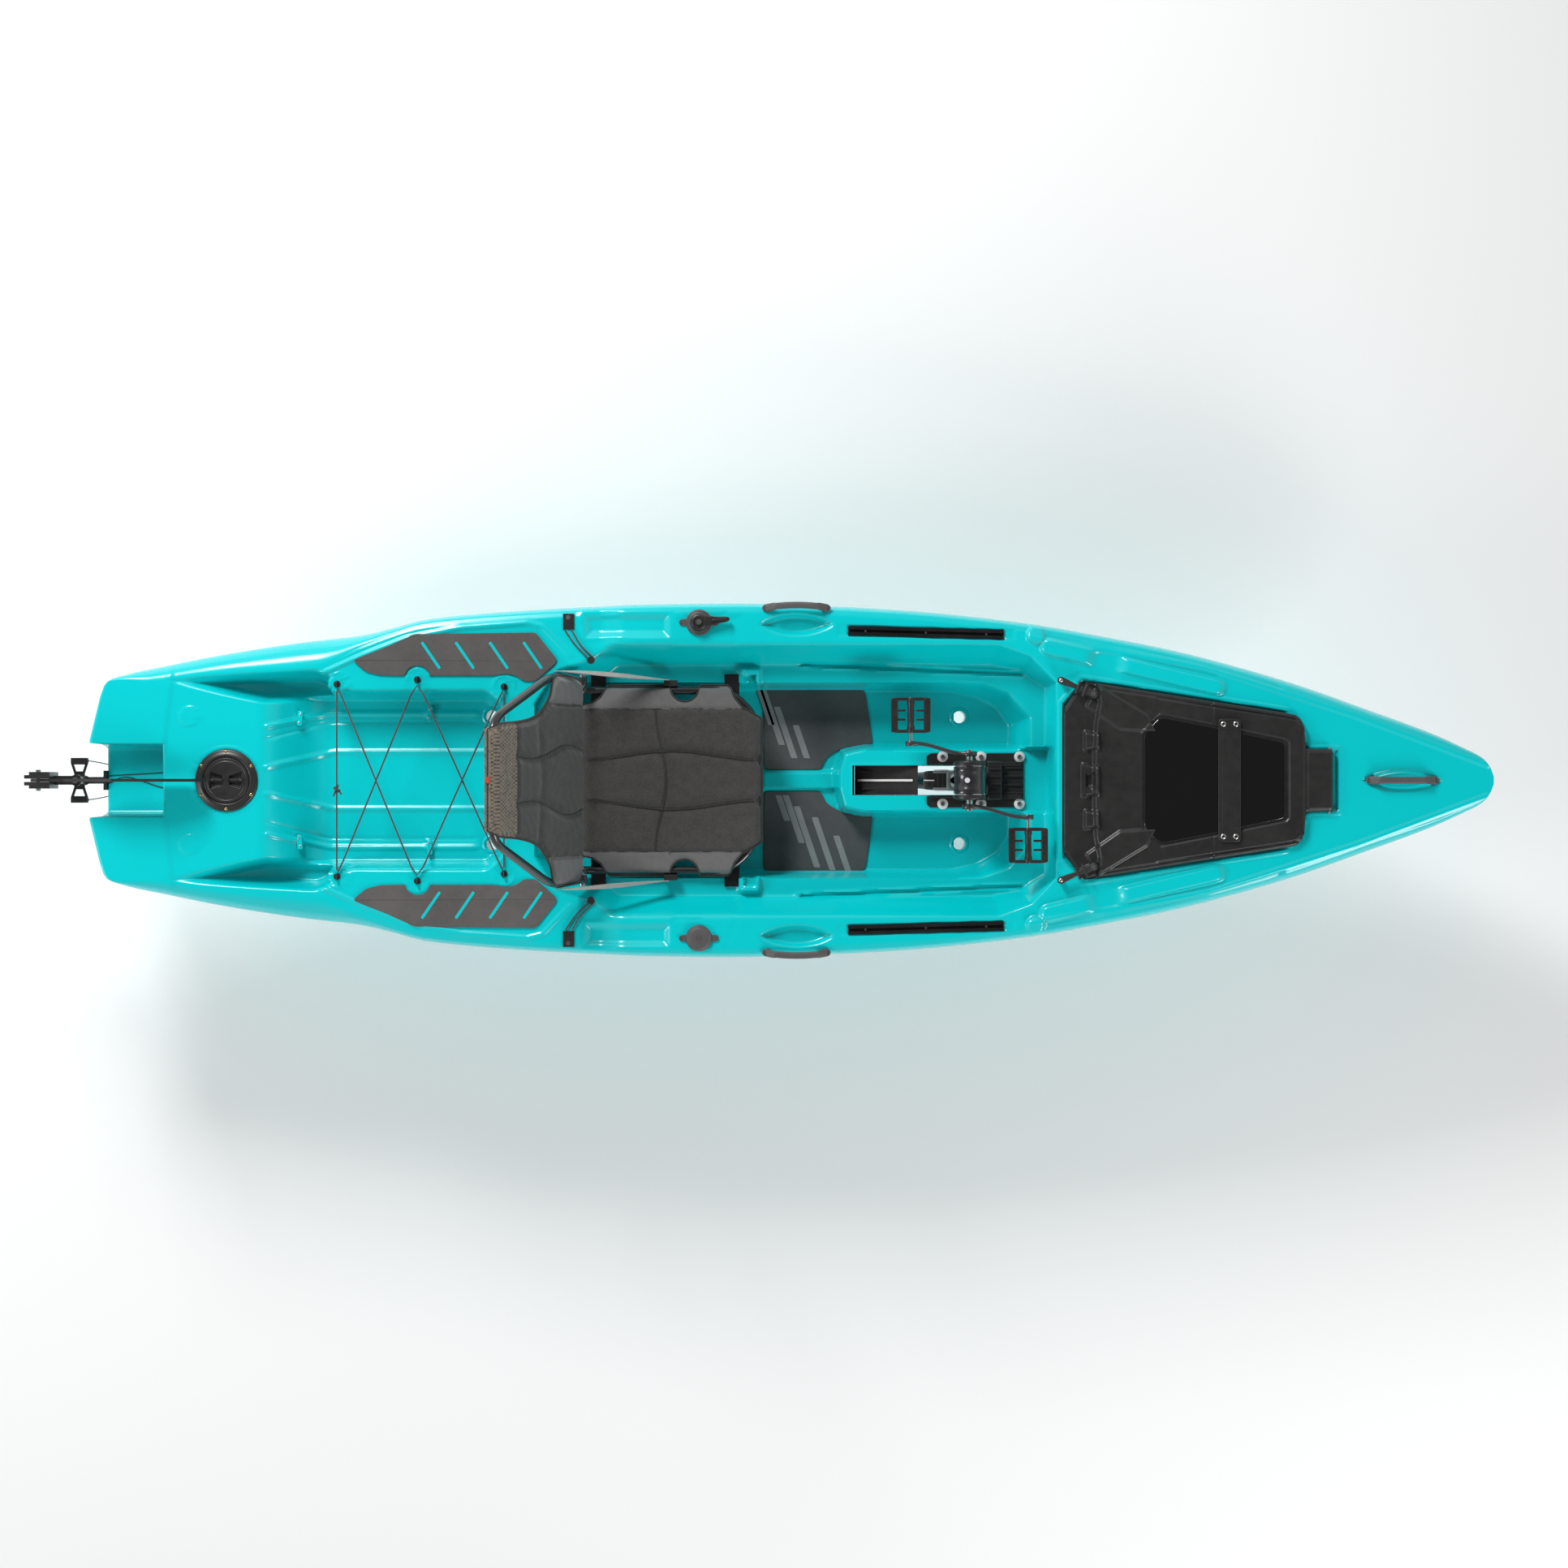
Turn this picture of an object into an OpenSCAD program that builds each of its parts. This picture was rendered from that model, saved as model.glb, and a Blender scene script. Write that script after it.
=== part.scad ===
/* [Hull] */
// Length of the hull from stern to stem
hull_len = 3708; // [3600:4:3900]
// Greatest beam, over the rubbing line
beam = 946; // [900:2:1000]
// Wall of the moulded shell
wall = 5; // [4:0.5:7]
// Height of the side deck over the keel
deck_h = 325; // [320:1:340]
// Height of the aft deck over the keel
aft_h = 310; // [300:1:318]
// Height of the stem
bow_h = 400; // [380:5:430]
// Width of the rolled gunwale edge
edge_w = 18; // [14:1:22]
// Height of the footwell floor over the keel
floor_h = 100; // [80:2:110]
// Height of the ledges that carry the seat
ledge_h = 230; // [220:1:235]
// Width of the footwell
foot_w = 510; // [480:2:540]
// Width of the cockpit over the ledges
cockpit_w = 600; // [580:2:620]
// Width of the tank well
well_w = 476; // [440:2:500]
// Height of the tank well floor over the keel
well_h = 190; // [170:2:210]
// Width of the stern notch that holds the rudder
notch_w = 194; // [180:2:210]
// Height of the stern platform over the keel
notch_h = 230; // [220:2:250]
// Radius of the scupper holes
scupper_r = 16.5; // [14:0.5:20]

/* [Hatches] */
// Outer radius of the aft hatch ring
ring_r = 83; // [78:1:90]
// Height of the aft hatch ring
ring_h = 6; // [5:0.5:8]
// Radius of the aft hatch lid
lid_r = 61; // [56:1:66]
// Clearance round the lid and the bow cover
hatch_gap = 1; // [0.6:0.1:2]
// Length of the bow hatch cover
cover_len = 709; // [680:1:740]
// Width of the bow hatch cover at its widest
cover_w = 532; // [500:2:560]
// Height of the bow hatch cover
cover_h = 28; // [24:1:32]
// Wall of the bow hatch cover
cover_t = 5; // [4:0.5:7]

/* [Drive] */
// Length of each crank arm between its centres
crank_len = 155; // [140:1:165]
// Height of the crank axis over the keel
crank_h = 350; // [345:1:365]
// Radius of the crank spindle
spindle_r = 9; // [8:0.5:10]
// Running clearance of spindles and pins in their bores
run_gap = 0.06; // [0.04:0.01:0.08]
// Length of each pedal
pedal_len = 108; // [100:1:114]
// Width of each pedal
pedal_w = 96; // [88:1:100]
// Depth of the propeller axis below the keel
prop_drop = 260; // [240:5:300]
// Radius of the propeller
prop_r = 120; // [100:2:125]
// Width of the drive slot
slot_w = 80; // [78:1:84]

/* [Rudder] */
// Length of the rudder blade from its bolt to its tip
blade_len = 447; // [420:1:470]
// Thickness of the rudder blade
blade_t = 8; // [6:0.5:9]
// Radius of the upright rudder pin
pin_r = 5; // [4:0.5:6]
// Width of the steering yoke
yoke_w = 120; // [100:2:126]

/* [Seat] */
// Outer width of the seat base frame
seat_w = 502; // [480:2:506]
// Length of the seat base frame
seat_len = 480; // [460:2:490]
// Radius of the seat frame tube
tube_r = 11; // [9:0.5:12]
// Length of the seat back along its slope
back_len = 500; // [460:5:520]
// Lean of the seat back from the vertical
back_lean = 24; // [18:1:28]
// Thickness of the seat pads
pad_t = 15; // [12:1:20]

/* [Deck fittings] */
// Radius of the steering and blank covers
knob_r = 35; // [32:1:38]
// Length of each gear track
track_len = 412; // [380:2:420]
// Width of each gear track
track_w = 24; // [22:1:28]
// Height of each gear track
track_h = 12; // [10:1:14]
// Diameter of the shock cords
cord_d = 4.5; // [4:0.5:6]
// Thickness of the foam pads
foam_t = 5; // [4:0.5:6]
// Grip thickness of the carry handles
grip_t = 9; // [7:1:12]

/* [Hidden] */
$fn = 48;

half_len = hull_len / 2;
stern_x = -half_len;
seat_gap = 0.3;
snug = 0.02;
tall = 1000;
// Half-beam as a share of the greatest, against the place along the half length
PLAN = [[-1, 0.21], [-0.984, 0.51], [-0.96, 0.585], [-0.89, 0.65], [-0.8, 0.72], [-0.7, 0.78],
    [-0.615, 0.82], [-0.57, 0.86], [-0.52, 0.91], [-0.43, 0.947], [-0.29, 0.98], [-0.2, 0.994],
    [-0.08, 1], [0.08, 0.98], [0.175, 0.958], [0.265, 0.925], [0.36, 0.877], [0.45, 0.814],
    [0.545, 0.74], [0.635, 0.65], [0.73, 0.538], [0.82, 0.41], [0.915, 0.268], [0.96, 0.185],
    [0.985, 0.13], [0.996, 0.075], [1, 0.03]];
// Height of the keel over its lowest line, against the place along the half length
KEEL = [[-1, 150], [-0.96, 110], [-0.89, 80], [-0.8, 50], [-0.615, 18], [-0.4, 0], [0.4, 0],
    [0.635, 20], [0.73, 45], [0.82, 90], [0.915, 170], [0.96, 230], [0.985, 280], [1, 340]];
aft_deck_end = -495;
side_deck_start = -440;
bow_rise = 600;
slope = (bow_h - deck_h) / (half_len - bow_rise);

function half_beam(x) = beam / 2 * lookup(x / half_len, PLAN);
function keel_z(x) = lookup(x / half_len, KEEL);
function deck_z(x) = lookup(x, [[aft_deck_end, aft_h], [side_deck_start, deck_h],
    [bow_rise, deck_h], [half_len, bow_h]]);
function sorted(v) = len(v) < 2 ? v : concat(sorted([for (e = v) if (e < v[0]) e]), [v[0]],
    sorted([for (e = v) if (e > v[0]) e]));
// Half a cross-section from the keel to the deck's centreline, drawn in by t on every side
function half_section(x, t) =
    let (b = half_beam(x) - t, k = keel_z(x) + 1.3 * t, d = deck_z(x) - t, e = min(edge_w, b / 3))
    [[0, k], [0.45 * b, k + 0.03 * (d - k)], [0.78 * b, k + 0.13 * (d - k)],
    [0.94 * b, k + 0.36 * (d - k)], [b, k + 0.7 * (d - k)], [b - 0.25 * e, d - 0.9 * e],
    [b - e, d], [0, d]];
function ring(x, t) = let (s = half_section(x, t), n = len(s))
    concat([for (p = s) [x, p[0], p[1]]], [for (i = [n - 2:-1:1]) [x, -s[i][0], s[i][1]]]);
function unit(v) = v / norm(v);
function mirror_y(points) = [for (i = [len(points) - 1:-1:0]) [points[i][0], -points[i][1]]];

// Skin through rings of points that turn anticlockwise as seen from the last ring
module skin(rings, closed = false) {
    m = len(rings[0]);
    n = len(rings);
    bands = closed ? n : n - 1;
    sides = [for (i = [0:bands - 1], j = [0:m - 1], h = [0, 1])
        let (a = i * m + j, b = i * m + (j + 1) % m, c = (i + 1) % n * m + j,
            d = (i + 1) % n * m + (j + 1) % m) h == 0 ? [a, c, b] : [b, c, d]];
    caps = closed ? [] : [[for (j = [0:m - 1]) j], [for (j = [m - 1:-1:0]) (n - 1) * m + j]];
    polyhedron([for (r = rings) each r], concat(sides, caps));
}

module loft(stations, t) {
    skin([for (x = stations) ring(x, t)]);
}

// Round tube along a route that lies roughly square to up, one ring to each point
module tube(route, r, sides = 8, closed = false, up = [0, 0, 1]) {
    n = len(route);
    skin([for (i = [0:n - 1])
        let (a = route[closed ? (i + n - 1) % n : max(i - 1, 0)],
            b = route[closed ? (i + 1) % n : min(i + 1, n - 1)], d = unit(b - a),
            u = unit(cross(d, up)), v = cross(u, d))
        [for (k = [0:sides - 1]) route[i] + r * (cos(360 * k / sides) * v
            + sin(360 * k / sides) * u)]], closed);
}

// A route with each inner corner turned into a curve that starts c before it
function rounded(route, c) = concat([route[0]],
    [for (i = [1:len(route) - 2]) let (p = route[i], a = p + c * unit(route[i - 1] - p),
        b = p + c * unit(route[i + 1] - p))
        for (t = [0:0.25:1]) a * (1 - t) ^ 2 + p * 2 * t * (1 - t) + b * t ^ 2],
    [route[len(route) - 1]]);

// Straight round bar between two points
module bar(p, q, r) {
    d = q - p;
    translate(p) rotate([0, acos(d[2] / norm(d)), atan2(d[1], d[0])]) cylinder(r = r, h = norm(d));
}

module block(low, high) {
    translate(low) cube(high - low);
}

module slab(outline, low, high) {
    translate([0, 0, low]) linear_extrude(height = high - low) polygon(outline);
}

module on_both_sides() {
    children();
    mirror([0, 1, 0]) children();
}

// Cylinder along Y, centred on y
module cross_cylinder(x, y, z, r, h) {
    translate([x, y, z]) rotate([90, 0, 0]) cylinder(r = r, h = h, center = true);
}

// ---- Hull ----
STATIONS = sorted(concat([for (p = PLAN) p[0] * half_len],
    [for (p = KEEL) p[0] * half_len], [aft_deck_end, side_deck_start, bow_rise]));
CAVITY_STATIONS = [for (x = STATIONS) if (x > -0.97 * half_len && x < 0.93 * half_len) x];
ledge_w = (cockpit_w - foot_w) / 2;
notch_edge_x = stern_x + 34;
notch_front_x = stern_x + 199;
foot_front_x = 640;
foot_back_x = -640;
cockpit_front_x = 712;
console_w = 172;
console_h = 195;
console_x = 150;
slot_x = 178;
slot_end_x = 532;
rib_w = 50;
rib_h = 14;
well_front_x = -745;
well_back_x = -1410;
SCUPPERS = [[-795, 172], [-795, -172], [466, 172], [466, -172]];
tray_x = -525;
tray_len = 200;
tray_w = 66;
tray_in = 22;
tray_d = 12;
finger_d = 20;

function well_outline(g) = let (w = well_w / 2 + g, b = well_back_x - g, f = well_front_x + g)
    [[b, -0.7 * w], [b + 90, -w], [f - 60, -w], [f, -w + 50], [f, w - 50], [f - 60, w],
    [b + 90, w], [b, 0.7 * w]];
function foot_outline(g) = let (w = foot_w / 2 + g, b = foot_back_x - g, f = foot_front_x + g)
    [[b, -w + 60], [b + 60, -w], [f - 110, -w], [f, -0.8 * w], [f, 0.8 * w], [f - 110, w],
    [b + 60, w], [b, w - 60]];
function cockpit_outline(g) =
    let (w = cockpit_w / 2 + g, b = foot_back_x - 30 - g, f = cockpit_front_x + g)
    [[b, -w + 70], [b + 70, -w], [f - 230, -w], [f, -0.75 * w], [f, 0.75 * w], [f - 230, w],
    [b + 70, w], [b, w - 70]];

// Everything that is sunk into the deck, grown by g on each side
module sunk(g) {
    block([stern_x - 50, -notch_w / 2 - g, notch_h - g],
        [notch_front_x + g, notch_w / 2 + g, tall]);
    block([stern_x - 50, -notch_w / 2 - g, -50], [notch_edge_x + g, notch_w / 2 + g, tall]);
    slab(well_outline(g), well_h - g, tall);
    slab(cockpit_outline(g), ledge_h - g, tall);
    difference() {
        slab(foot_outline(g), floor_h - g, tall);
        block([console_x + g, -console_w / 2 + g, 0],
            [cockpit_front_x + 50, console_w / 2 - g, console_h - g]);
        block([-70 + g, -rib_w / 2 + g, 0], [console_x + 2 * g + 1, rib_w / 2 - g,
            floor_h + rib_h - g]);
    }
    block([slot_x - g, -slot_w / 2 - g, -50], [slot_end_x + g, slot_w / 2 + g, tall]);
    on_both_sides() {
        block([tray_x - g, half_beam(tray_x) - tray_in - tray_w - g, aft_h - tray_d - g],
            [tray_x + tray_len + g, half_beam(tray_x) - tray_in + g, tall]);
        finger_scoop(grip_x, half_beam(0) - 60, 170, deck_h, g);
        translate([track_x, track_y, 0]) rotate([0, 0, -track_turn])
            block([-track_len / 2 - 1 - g, -track_w / 2 - 1 - g, deck_h - track_h + 2 - g],
                [track_len / 2 + 1 + g, track_w / 2 + 1 + g, tall]);
    }
    on_bow() {
        slab(cover_outline(hatch_gap + g), -recess_d - g, 200);
        block([cover_len - 40, -tongue_w / 2 - hatch_gap - g, -recess_d - g],
            [cover_len + 13 + g, tongue_w / 2 + hatch_gap + g, 200]);
    }
}

// Round-bottomed hollow for the fingers, centred on x and y under a grip
module finger_scoop(x, y, l, z, g) {
    translate([x, y, z - finger_d - g]) linear_extrude(height = tall) intersection() {
        translate([0, -l * 0.9]) circle(r = l * 0.9 + 32 + g, $fn = 96);
        translate([0, l * 0.9]) circle(r = l * 0.9 + 32 + g, $fn = 96);
    }
}

module scupper_holes(g) {
    for (p = SCUPPERS) translate([p[0], p[1], -50]) cylinder(r = scupper_r + g, h = tall / 2);
}

module hull() {
    color("turquoise") difference() {
        loft(STATIONS, 0);
        difference() {
            loft(CAVITY_STATIONS, wall);
            sunk(wall);
            scupper_holes(wall);
        }
        sunk(0);
        scupper_holes(0);
        translate([ring_x, 0, aft_h - 60]) cylinder(r = lid_r - 4, h = 100);
        on_bow() slab(bow_mouth_outline(-30), -recess_d - 60, 0);
        on_bow() cross_cylinder(hinge_x, 0, hinge_z, hinge_r + run_gap, tongue_w + 2 * hatch_gap + 24);
        translate([bow_grip_x, 0, 0]) finger_scoop(0, 0, 190, deck_z(bow_grip_x), 0);
    }
}

// ---- Aft hatch ----
ring_x = stern_x + 366;
screw_circle_r = 78;
lid_h = 9;

module hatch_ring() {
    color("dimgray") difference() {
        translate([ring_x, 0, aft_h]) cylinder(r = ring_r, h = ring_h, $fn = 96);
        translate([ring_x, 0, aft_h - 1]) cylinder(r = lid_r + hatch_gap, h = ring_h + 2, $fn = 96);
        for (i = [0:5]) translate([ring_x, 0, aft_h - 1]) rotate([0, 0, 60 * i])
            translate([(screw_circle_r + lid_r) / 2 + 4, 0, 0]) cylinder(r = 2.2, h = ring_h + 2);
    }
}

module hatch_lid() {
    color("dimgray") translate([ring_x, 0, aft_h + 1.5]) difference() {
        cylinder(r = lid_r, h = lid_h, $fn = 96);
        for (side = [0, 180]) rotate([0, 0, side]) translate([28, 0, 4])
            intersection() {
                cylinder(r = 24, h = lid_h);
                block([0, -30, 0], [30, 30, lid_h]);
            }
    }
}

module round_gasket() {
    translate([ring_x, 0, aft_h]) difference() {
        cylinder(r = lid_r - 1, h = 1.5, $fn = 96);
        translate([0, 0, -1]) cylinder(r = lid_r - 3.5, h = 4, $fn = 96);
    }
}

module hatch_gaskets() {
    color("black") {
        round_gasket();
        on_bow() difference() {
            slab(bow_mouth_outline(-5), -recess_d, -recess_d + gasket_h);
            slab(bow_mouth_outline(-18), -recess_d - 1, 10);
        }
    }
}

// ---- Bow hatch, drawn level and then laid on the sloping foredeck ----
bow_x0 = half_len - 1127;
recess_d = 10;
gasket_h = 4;
tongue_w = 160;
hinge_x = cover_len - 9;
hinge_z = 5;
hinge_r = 3;
cover_low = -recess_d + gasket_h + seat_gap;
cover_top = cover_low + cover_h;
window_t = 4;
bridge_x = 408;
bridge_l = 67;
bridge_w = 324;

module on_bow() {
    translate([bow_x0, 0, deck_z(bow_x0)]) rotate([0, -atan(slope), 0]) children();
}

function cover_outline(g) = let (w = cover_w / 2 + g, t = tongue_w / 2 + g, l = cover_len,
    half = [[-g, -0.76 * w], [53 - g / 2, -w], [l - 127 + g / 2, -0.685 * w],
        [l - 69 + g, -t], [l + g, -t]])
    concat(half, mirror_y(half));
// Opening under the cover, which stops short of the hinge's tongue
function bow_mouth_outline(g) = let (w = cover_w / 2 + g, l = cover_len - 130 + g,
    half = [[-g, -0.76 * w], [53 - g / 2, -w], [l, -0.685 * w]])
    concat(half, mirror_y(half));
function window_outline() = let (w = cover_w / 2, half = [[214, -0.49 * w], [261, -0.635 * w],
    [583, -0.34 * w]]) concat(half, mirror_y(half));

module bow_cover() {
    color("black") on_bow() difference() {
        union() {
            slab(cover_outline(0), cover_low, cover_top - 8);
            slab(cover_outline(-8), cover_low, cover_top);
        }
        slab(cover_outline(-12), cover_low - 1, cover_top - cover_t - 6);
        cross_cylinder(hinge_x, 0, hinge_z, hinge_r + run_gap, cover_w);
        for (side = [-1, 1]) translate([latch_x, side * latch_y, cover_top - 30])
            cylinder(r = latch_pin_r, h = 60);
    }
}

module bow_window() {
    color("black") on_bow() slab(window_outline(), cover_top + 0.05, cover_top + window_t);
}

module bow_bridge() {
    color("dimgray") on_bow() difference() {
        union() {
            block([bridge_x, -bridge_w / 2, cover_top + window_t],
                [bridge_x + bridge_l, bridge_w / 2, cover_top + window_t + 4]);
            on_both_sides() block([bridge_x, bridge_w / 2 - 20, cover_top],
                [bridge_x + bridge_l, bridge_w / 2, cover_top + window_t]);
        }
        bridge_bolts(2.05);
    }
}

module bridge_bolts(r) {
    for (x = [bridge_x + 14, bridge_x + bridge_l - 14], side = [-1, 1])
        translate([x, side * (bridge_w / 2 - 10), cover_top - 5]) cylinder(r = r, h = 20);
}

module bow_screws() {
    color("silver") on_bow() for (x = [bridge_x + 14, bridge_x + bridge_l - 14], side = [-1, 1])
        translate([x, side * (bridge_w / 2 - 10), cover_top]) {
            cylinder(r = 2, h = window_t + 4);
            translate([0, 0, window_t + 4]) cylinder(r1 = 4, r2 = 3, h = 2.4);
        }
}

module bow_hinge_pin() {
    color("silver") on_bow() cross_cylinder(hinge_x, 0, hinge_z, hinge_r, tongue_w + 14);
}

// ---- Bow hatch latches ----
latch_x = 80;
latch_y = cover_w / 2 - 38;
latch_pin_r = 4;
latch_len = 92;
latch_turn = 23;

module latch(side) {
    color("black") on_bow() translate([latch_x, side * latch_y, cover_top + seat_gap])
        rotate([0, 0, side * (180 - latch_turn)]) difference() {
            union() {
                cylinder(r = 13, h = 5);
                block([0, -10, 0], [latch_len, 10, 5]);
                translate([latch_len, 0, 1 - cover_top]) cylinder(r = 10, h = cover_top + 8);
            }
            translate([0, 0, -1]) cylinder(r = latch_pin_r + run_gap, h = 12);
        }
}

module latch_port() {
    latch(1);
}

module latch_starboard() {
    latch(-1);
}

module latch_pins() {
    color("silver") on_bow() for (side = [-1, 1])
        translate([latch_x, side * latch_y, cover_top - 10]) {
            cylinder(r = latch_pin_r, h = 16.5);
            translate([0, 0, 15.6]) cylinder(r = 7, h = 2);
        }
}

// ---- Carry handles ----
grip_x = 23;
grip_len = 180;
grip_w = 21;
grip_rise = 26;
bow_grip_x = half_len - 238;
bow_grip_len = 188;

// Arched strap handle along X with flat feet, standing on z = 0
module strap_handle(l) {
    foot = 26;
    foot_t = grip_t - 2;
    under = l - 2 * foot;
    arch = [for (i = [1:7]) [i / 8 - 0.5, (grip_rise - grip_t) * sin(180 * i / 8) ^ 0.6]];
    translate([0, grip_w / 2, 0]) rotate([90, 0, 0]) linear_extrude(height = grip_w) polygon(concat(
        [[-l / 2, 0], [-under / 2, 0]],
        [for (a = arch) [a[0] * under, a[1]]],
        [[under / 2, 0], [l / 2, 0], [l / 2, foot_t], [under / 2 + 4, foot_t]],
        [for (i = [6:-1:0]) [arch[i][0] * (under + 8), grip_t + arch[i][1]]],
        [[-under / 2 - 4, foot_t], [-l / 2, foot_t]]));
}

module bow_handle() {
    color("dimgray") translate([bow_grip_x, 0, deck_z(bow_grip_x) + 0.2])
        rotate([0, -atan(slope), 0]) difference() {
            strap_handle(bow_grip_len);
            handle_screws(bow_grip_len, 2.6);
        }
}

module handle_screws(l, r) {
    for (x = [-l / 2 + 13, l / 2 - 13]) translate([x, 0, -12]) cylinder(r = r, h = 40);
}

module side_handle(side) {
    color("dimgray") translate([grip_x, side * grip_y, deck_h + 0.2]) difference() {
        strap_handle(grip_len);
        handle_screws(grip_len, 2.6);
    }
}
grip_y = half_beam(0) - 15;

module side_handle_port() {
    side_handle(1);
}

module side_handle_starboard() {
    side_handle(-1);
}

// ---- Foam pads ----
side_pad_x = -1145;
side_pad_front_x = -615;
function side_pad_outline() =
    let (i = well_w / 2 + 32, x0 = side_pad_x, x1 = side_pad_front_x)
    concat([[x0, i + 55], [x0 + 30, i]], notch_arc(EYES[1], i), [[x1 - 112, i], [x1 - 110, i - 30],
        [x1 - 5, i + 30], [x1, half_beam(x1) - 60], [x1 - 48, half_beam(x1) - 52],
        [side_pad_x + 170, half_beam(side_pad_x + 170) - 42],
        [side_pad_x + 35, half_beam(side_pad_x + 35) - 50]]);
// Half-round notch in a straight edge at y = i, round an eye
function notch_arc(p, i) = [for (k = [0:8]) let (r = 32)
    [p[0] - r * cos(180 * k / 8), i + 0.9 * r * sin(180 * k / 8)]];

module side_pad() {
    difference() {
        slab(side_pad_outline(), aft_h + 0.1, aft_h + 0.1 + foam_t);
        for (k = [0:3]) translate([-972 + 87 * k, half_beam(-972) - 95, aft_h - 5])
            rotate([0, 0, -56]) block([-44, -4, 0], [44, 4, 20]);
    }
}

module side_pad_port() {
    color("dimgray") side_pad();
}

module side_pad_starboard() {
    color("dimgray") mirror([0, 1, 0]) side_pad();
}

function foot_pad_outline() = let (w = foot_w / 2 - 7)
    [[-62, rib_w / 2 + 4], [122, rib_w / 2 + 4], [132, 52], [140, 92], [232, 92], [212, w],
    [-34, w], [-62, w - 28]];

module foot_pad() {
    slab(foot_pad_outline(), floor_h + 0.1, floor_h + 0.1 + foam_t);
}

module foot_pad_port() {
    color("dimgray") foot_pad();
}

module foot_pad_starboard() {
    color("dimgray") mirror([0, 1, 0]) foot_pad();
}

// ---- Gear tracks ----
track_x = 366;
track_turn = 1.5;
track_y = half_beam(track_x) - 58;
track_z = deck_h - track_h + 2.2;

module gear_track() {
    translate([track_x, track_y, track_z]) rotate([0, 0, -track_turn]) difference() {
        block([-track_len / 2, -track_w / 2, 0], [track_len / 2, track_w / 2, track_h]);
        block([-track_len / 2 - 1, -7, 3], [track_len / 2 + 1, 7, 8]);
        block([-track_len / 2 - 1, -3.5, 7], [track_len / 2 + 1, 3.5, track_h + 1]);
        for (x = [-160, 0, 160]) translate([x, 0, -1]) cylinder(r = 2.2, h = 6);
    }
}

module gear_track_port() {
    color("black") gear_track();
}

module gear_track_starboard() {
    color("black") mirror([0, 1, 0]) gear_track();
}

// ---- Tank well lacing ----
EYES = [[-1195, 255], [-982, 267], [-752, 248]];
eye_h = 11;
eye_out = well_w / 2 - 238;

module eye(p) {
    translate([p[0], p[1], aft_h + 0.1]) {
        cylinder(r = 9, h = 4);
        translate([0, 0, eye_h]) rotate([0, 90, 0])
            rotate_extrude() translate([7.2, 0]) circle(r = 2, $fn = 24);
    }
}

module bungee_eyes() {
    color("black") on_both_sides() for (p = EYES) eye([p[0], p[1] + eye_out]);
}

bend_r = 5;
// Turn of the cord through an eye, between the point before it and the one after it
function bend(p, e, n) =
    let (u = unit(p - e), v = unit(n - e), w = unit(u + v), a = atan2(-w[1], -w[0]),
        h = (180 - acos(u * v)) / 2, s = u[0] * w[1] - u[1] * w[0] > 0 ? 1 : -1)
    [for (k = [-3:3]) e + w * bend_r + bend_r * [cos(a - s * h * k / 3), sin(a - s * h * k / 3)]];
function eye_at(i, side) = [EYES[i][0], side * (EYES[i][1] + eye_out)];
LACING = [eye_at(0, 1), eye_at(1, -1), eye_at(2, 1), eye_at(2, -1), eye_at(1, 1), eye_at(0, -1)];
// Two strands cross in each bay, and one passes over the other
CROSS_Z = [3.5, 3.5, 0, -3.5, -3.5, 0];

module deck_bungee() {
    n = len(LACING);
    z = aft_h + eye_h + 0.1;
    route = [for (i = [0:n - 1]) let (e = LACING[i], q = LACING[(i + 1) % n])
        each concat([for (p = bend(LACING[(i + n - 1) % n], e, q)) [p[0], p[1], z]],
            [for (t = [0.35, 0.5, 0.65]) [e[0] + t * (q[0] - e[0]), e[1] + t * (q[1] - e[1]),
                z + CROSS_Z[i]]])];
    color("black") tube(route, cord_d / 2, 8, true);
}

// ---- Paddle keepers ----
keeper_x = -582;
keeper_in = 35;
keeper_hook_x = -522;

module keeper_tab() {
    translate([keeper_x, half_beam(keeper_x) - keeper_in, aft_h + 0.1]) difference() {
        block([-14, -26, 0], [16, 16, 3]);
        translate([0, 6, -1]) cylinder(r = 2.6, h = 6);
    }
}

// Hook at the cockpit's edge that the inner ends of a keeper's cords loop round
module keeper_hook() {
    translate([keeper_hook_x, cockpit_w / 2 + 18, aft_h + 0.1]) {
        cylinder(r = 10, h = 2);
        cylinder(r = 5, h = 9);
        translate([0, 0, 8]) cylinder(r = 9, h = 3);
    }
}

module keeper_tabs() {
    color("black") on_both_sides() {
        keeper_tab();
        keeper_hook();
    }
}

// One cord of each keeper, from its tab over the deck, round the hook and back
module keeper_cords() {
    y0 = half_beam(keeper_x) - keeper_in - 27 - cord_d / 2;
    y1 = cockpit_w / 2 + 18;
    z = aft_h + 5.2;
    r = 5.3 + cord_d / 2;
    color("black") on_both_sides() tube(concat(
        [[keeper_x - 8, y0, z], [keeper_x + 20, (y0 + y1) / 2, z], [keeper_hook_x - r, y1 + 6, z]],
        [for (a = [180:30:360]) [keeper_hook_x + r * cos(a), y1 + r * sin(a), z]],
        [[keeper_hook_x + r, y1 + 6, z], [keeper_x + 34, (y0 + y1) / 2, z], [keeper_x + 10, y0, z]]),
        cord_d / 2);
}

// ---- Steering knob and blank cover ----
knob_x = -235;
knob_y = half_beam(knob_x) - 54;
knob_h = 10;
bolt_r = 4;
lever_len = 72;

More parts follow.
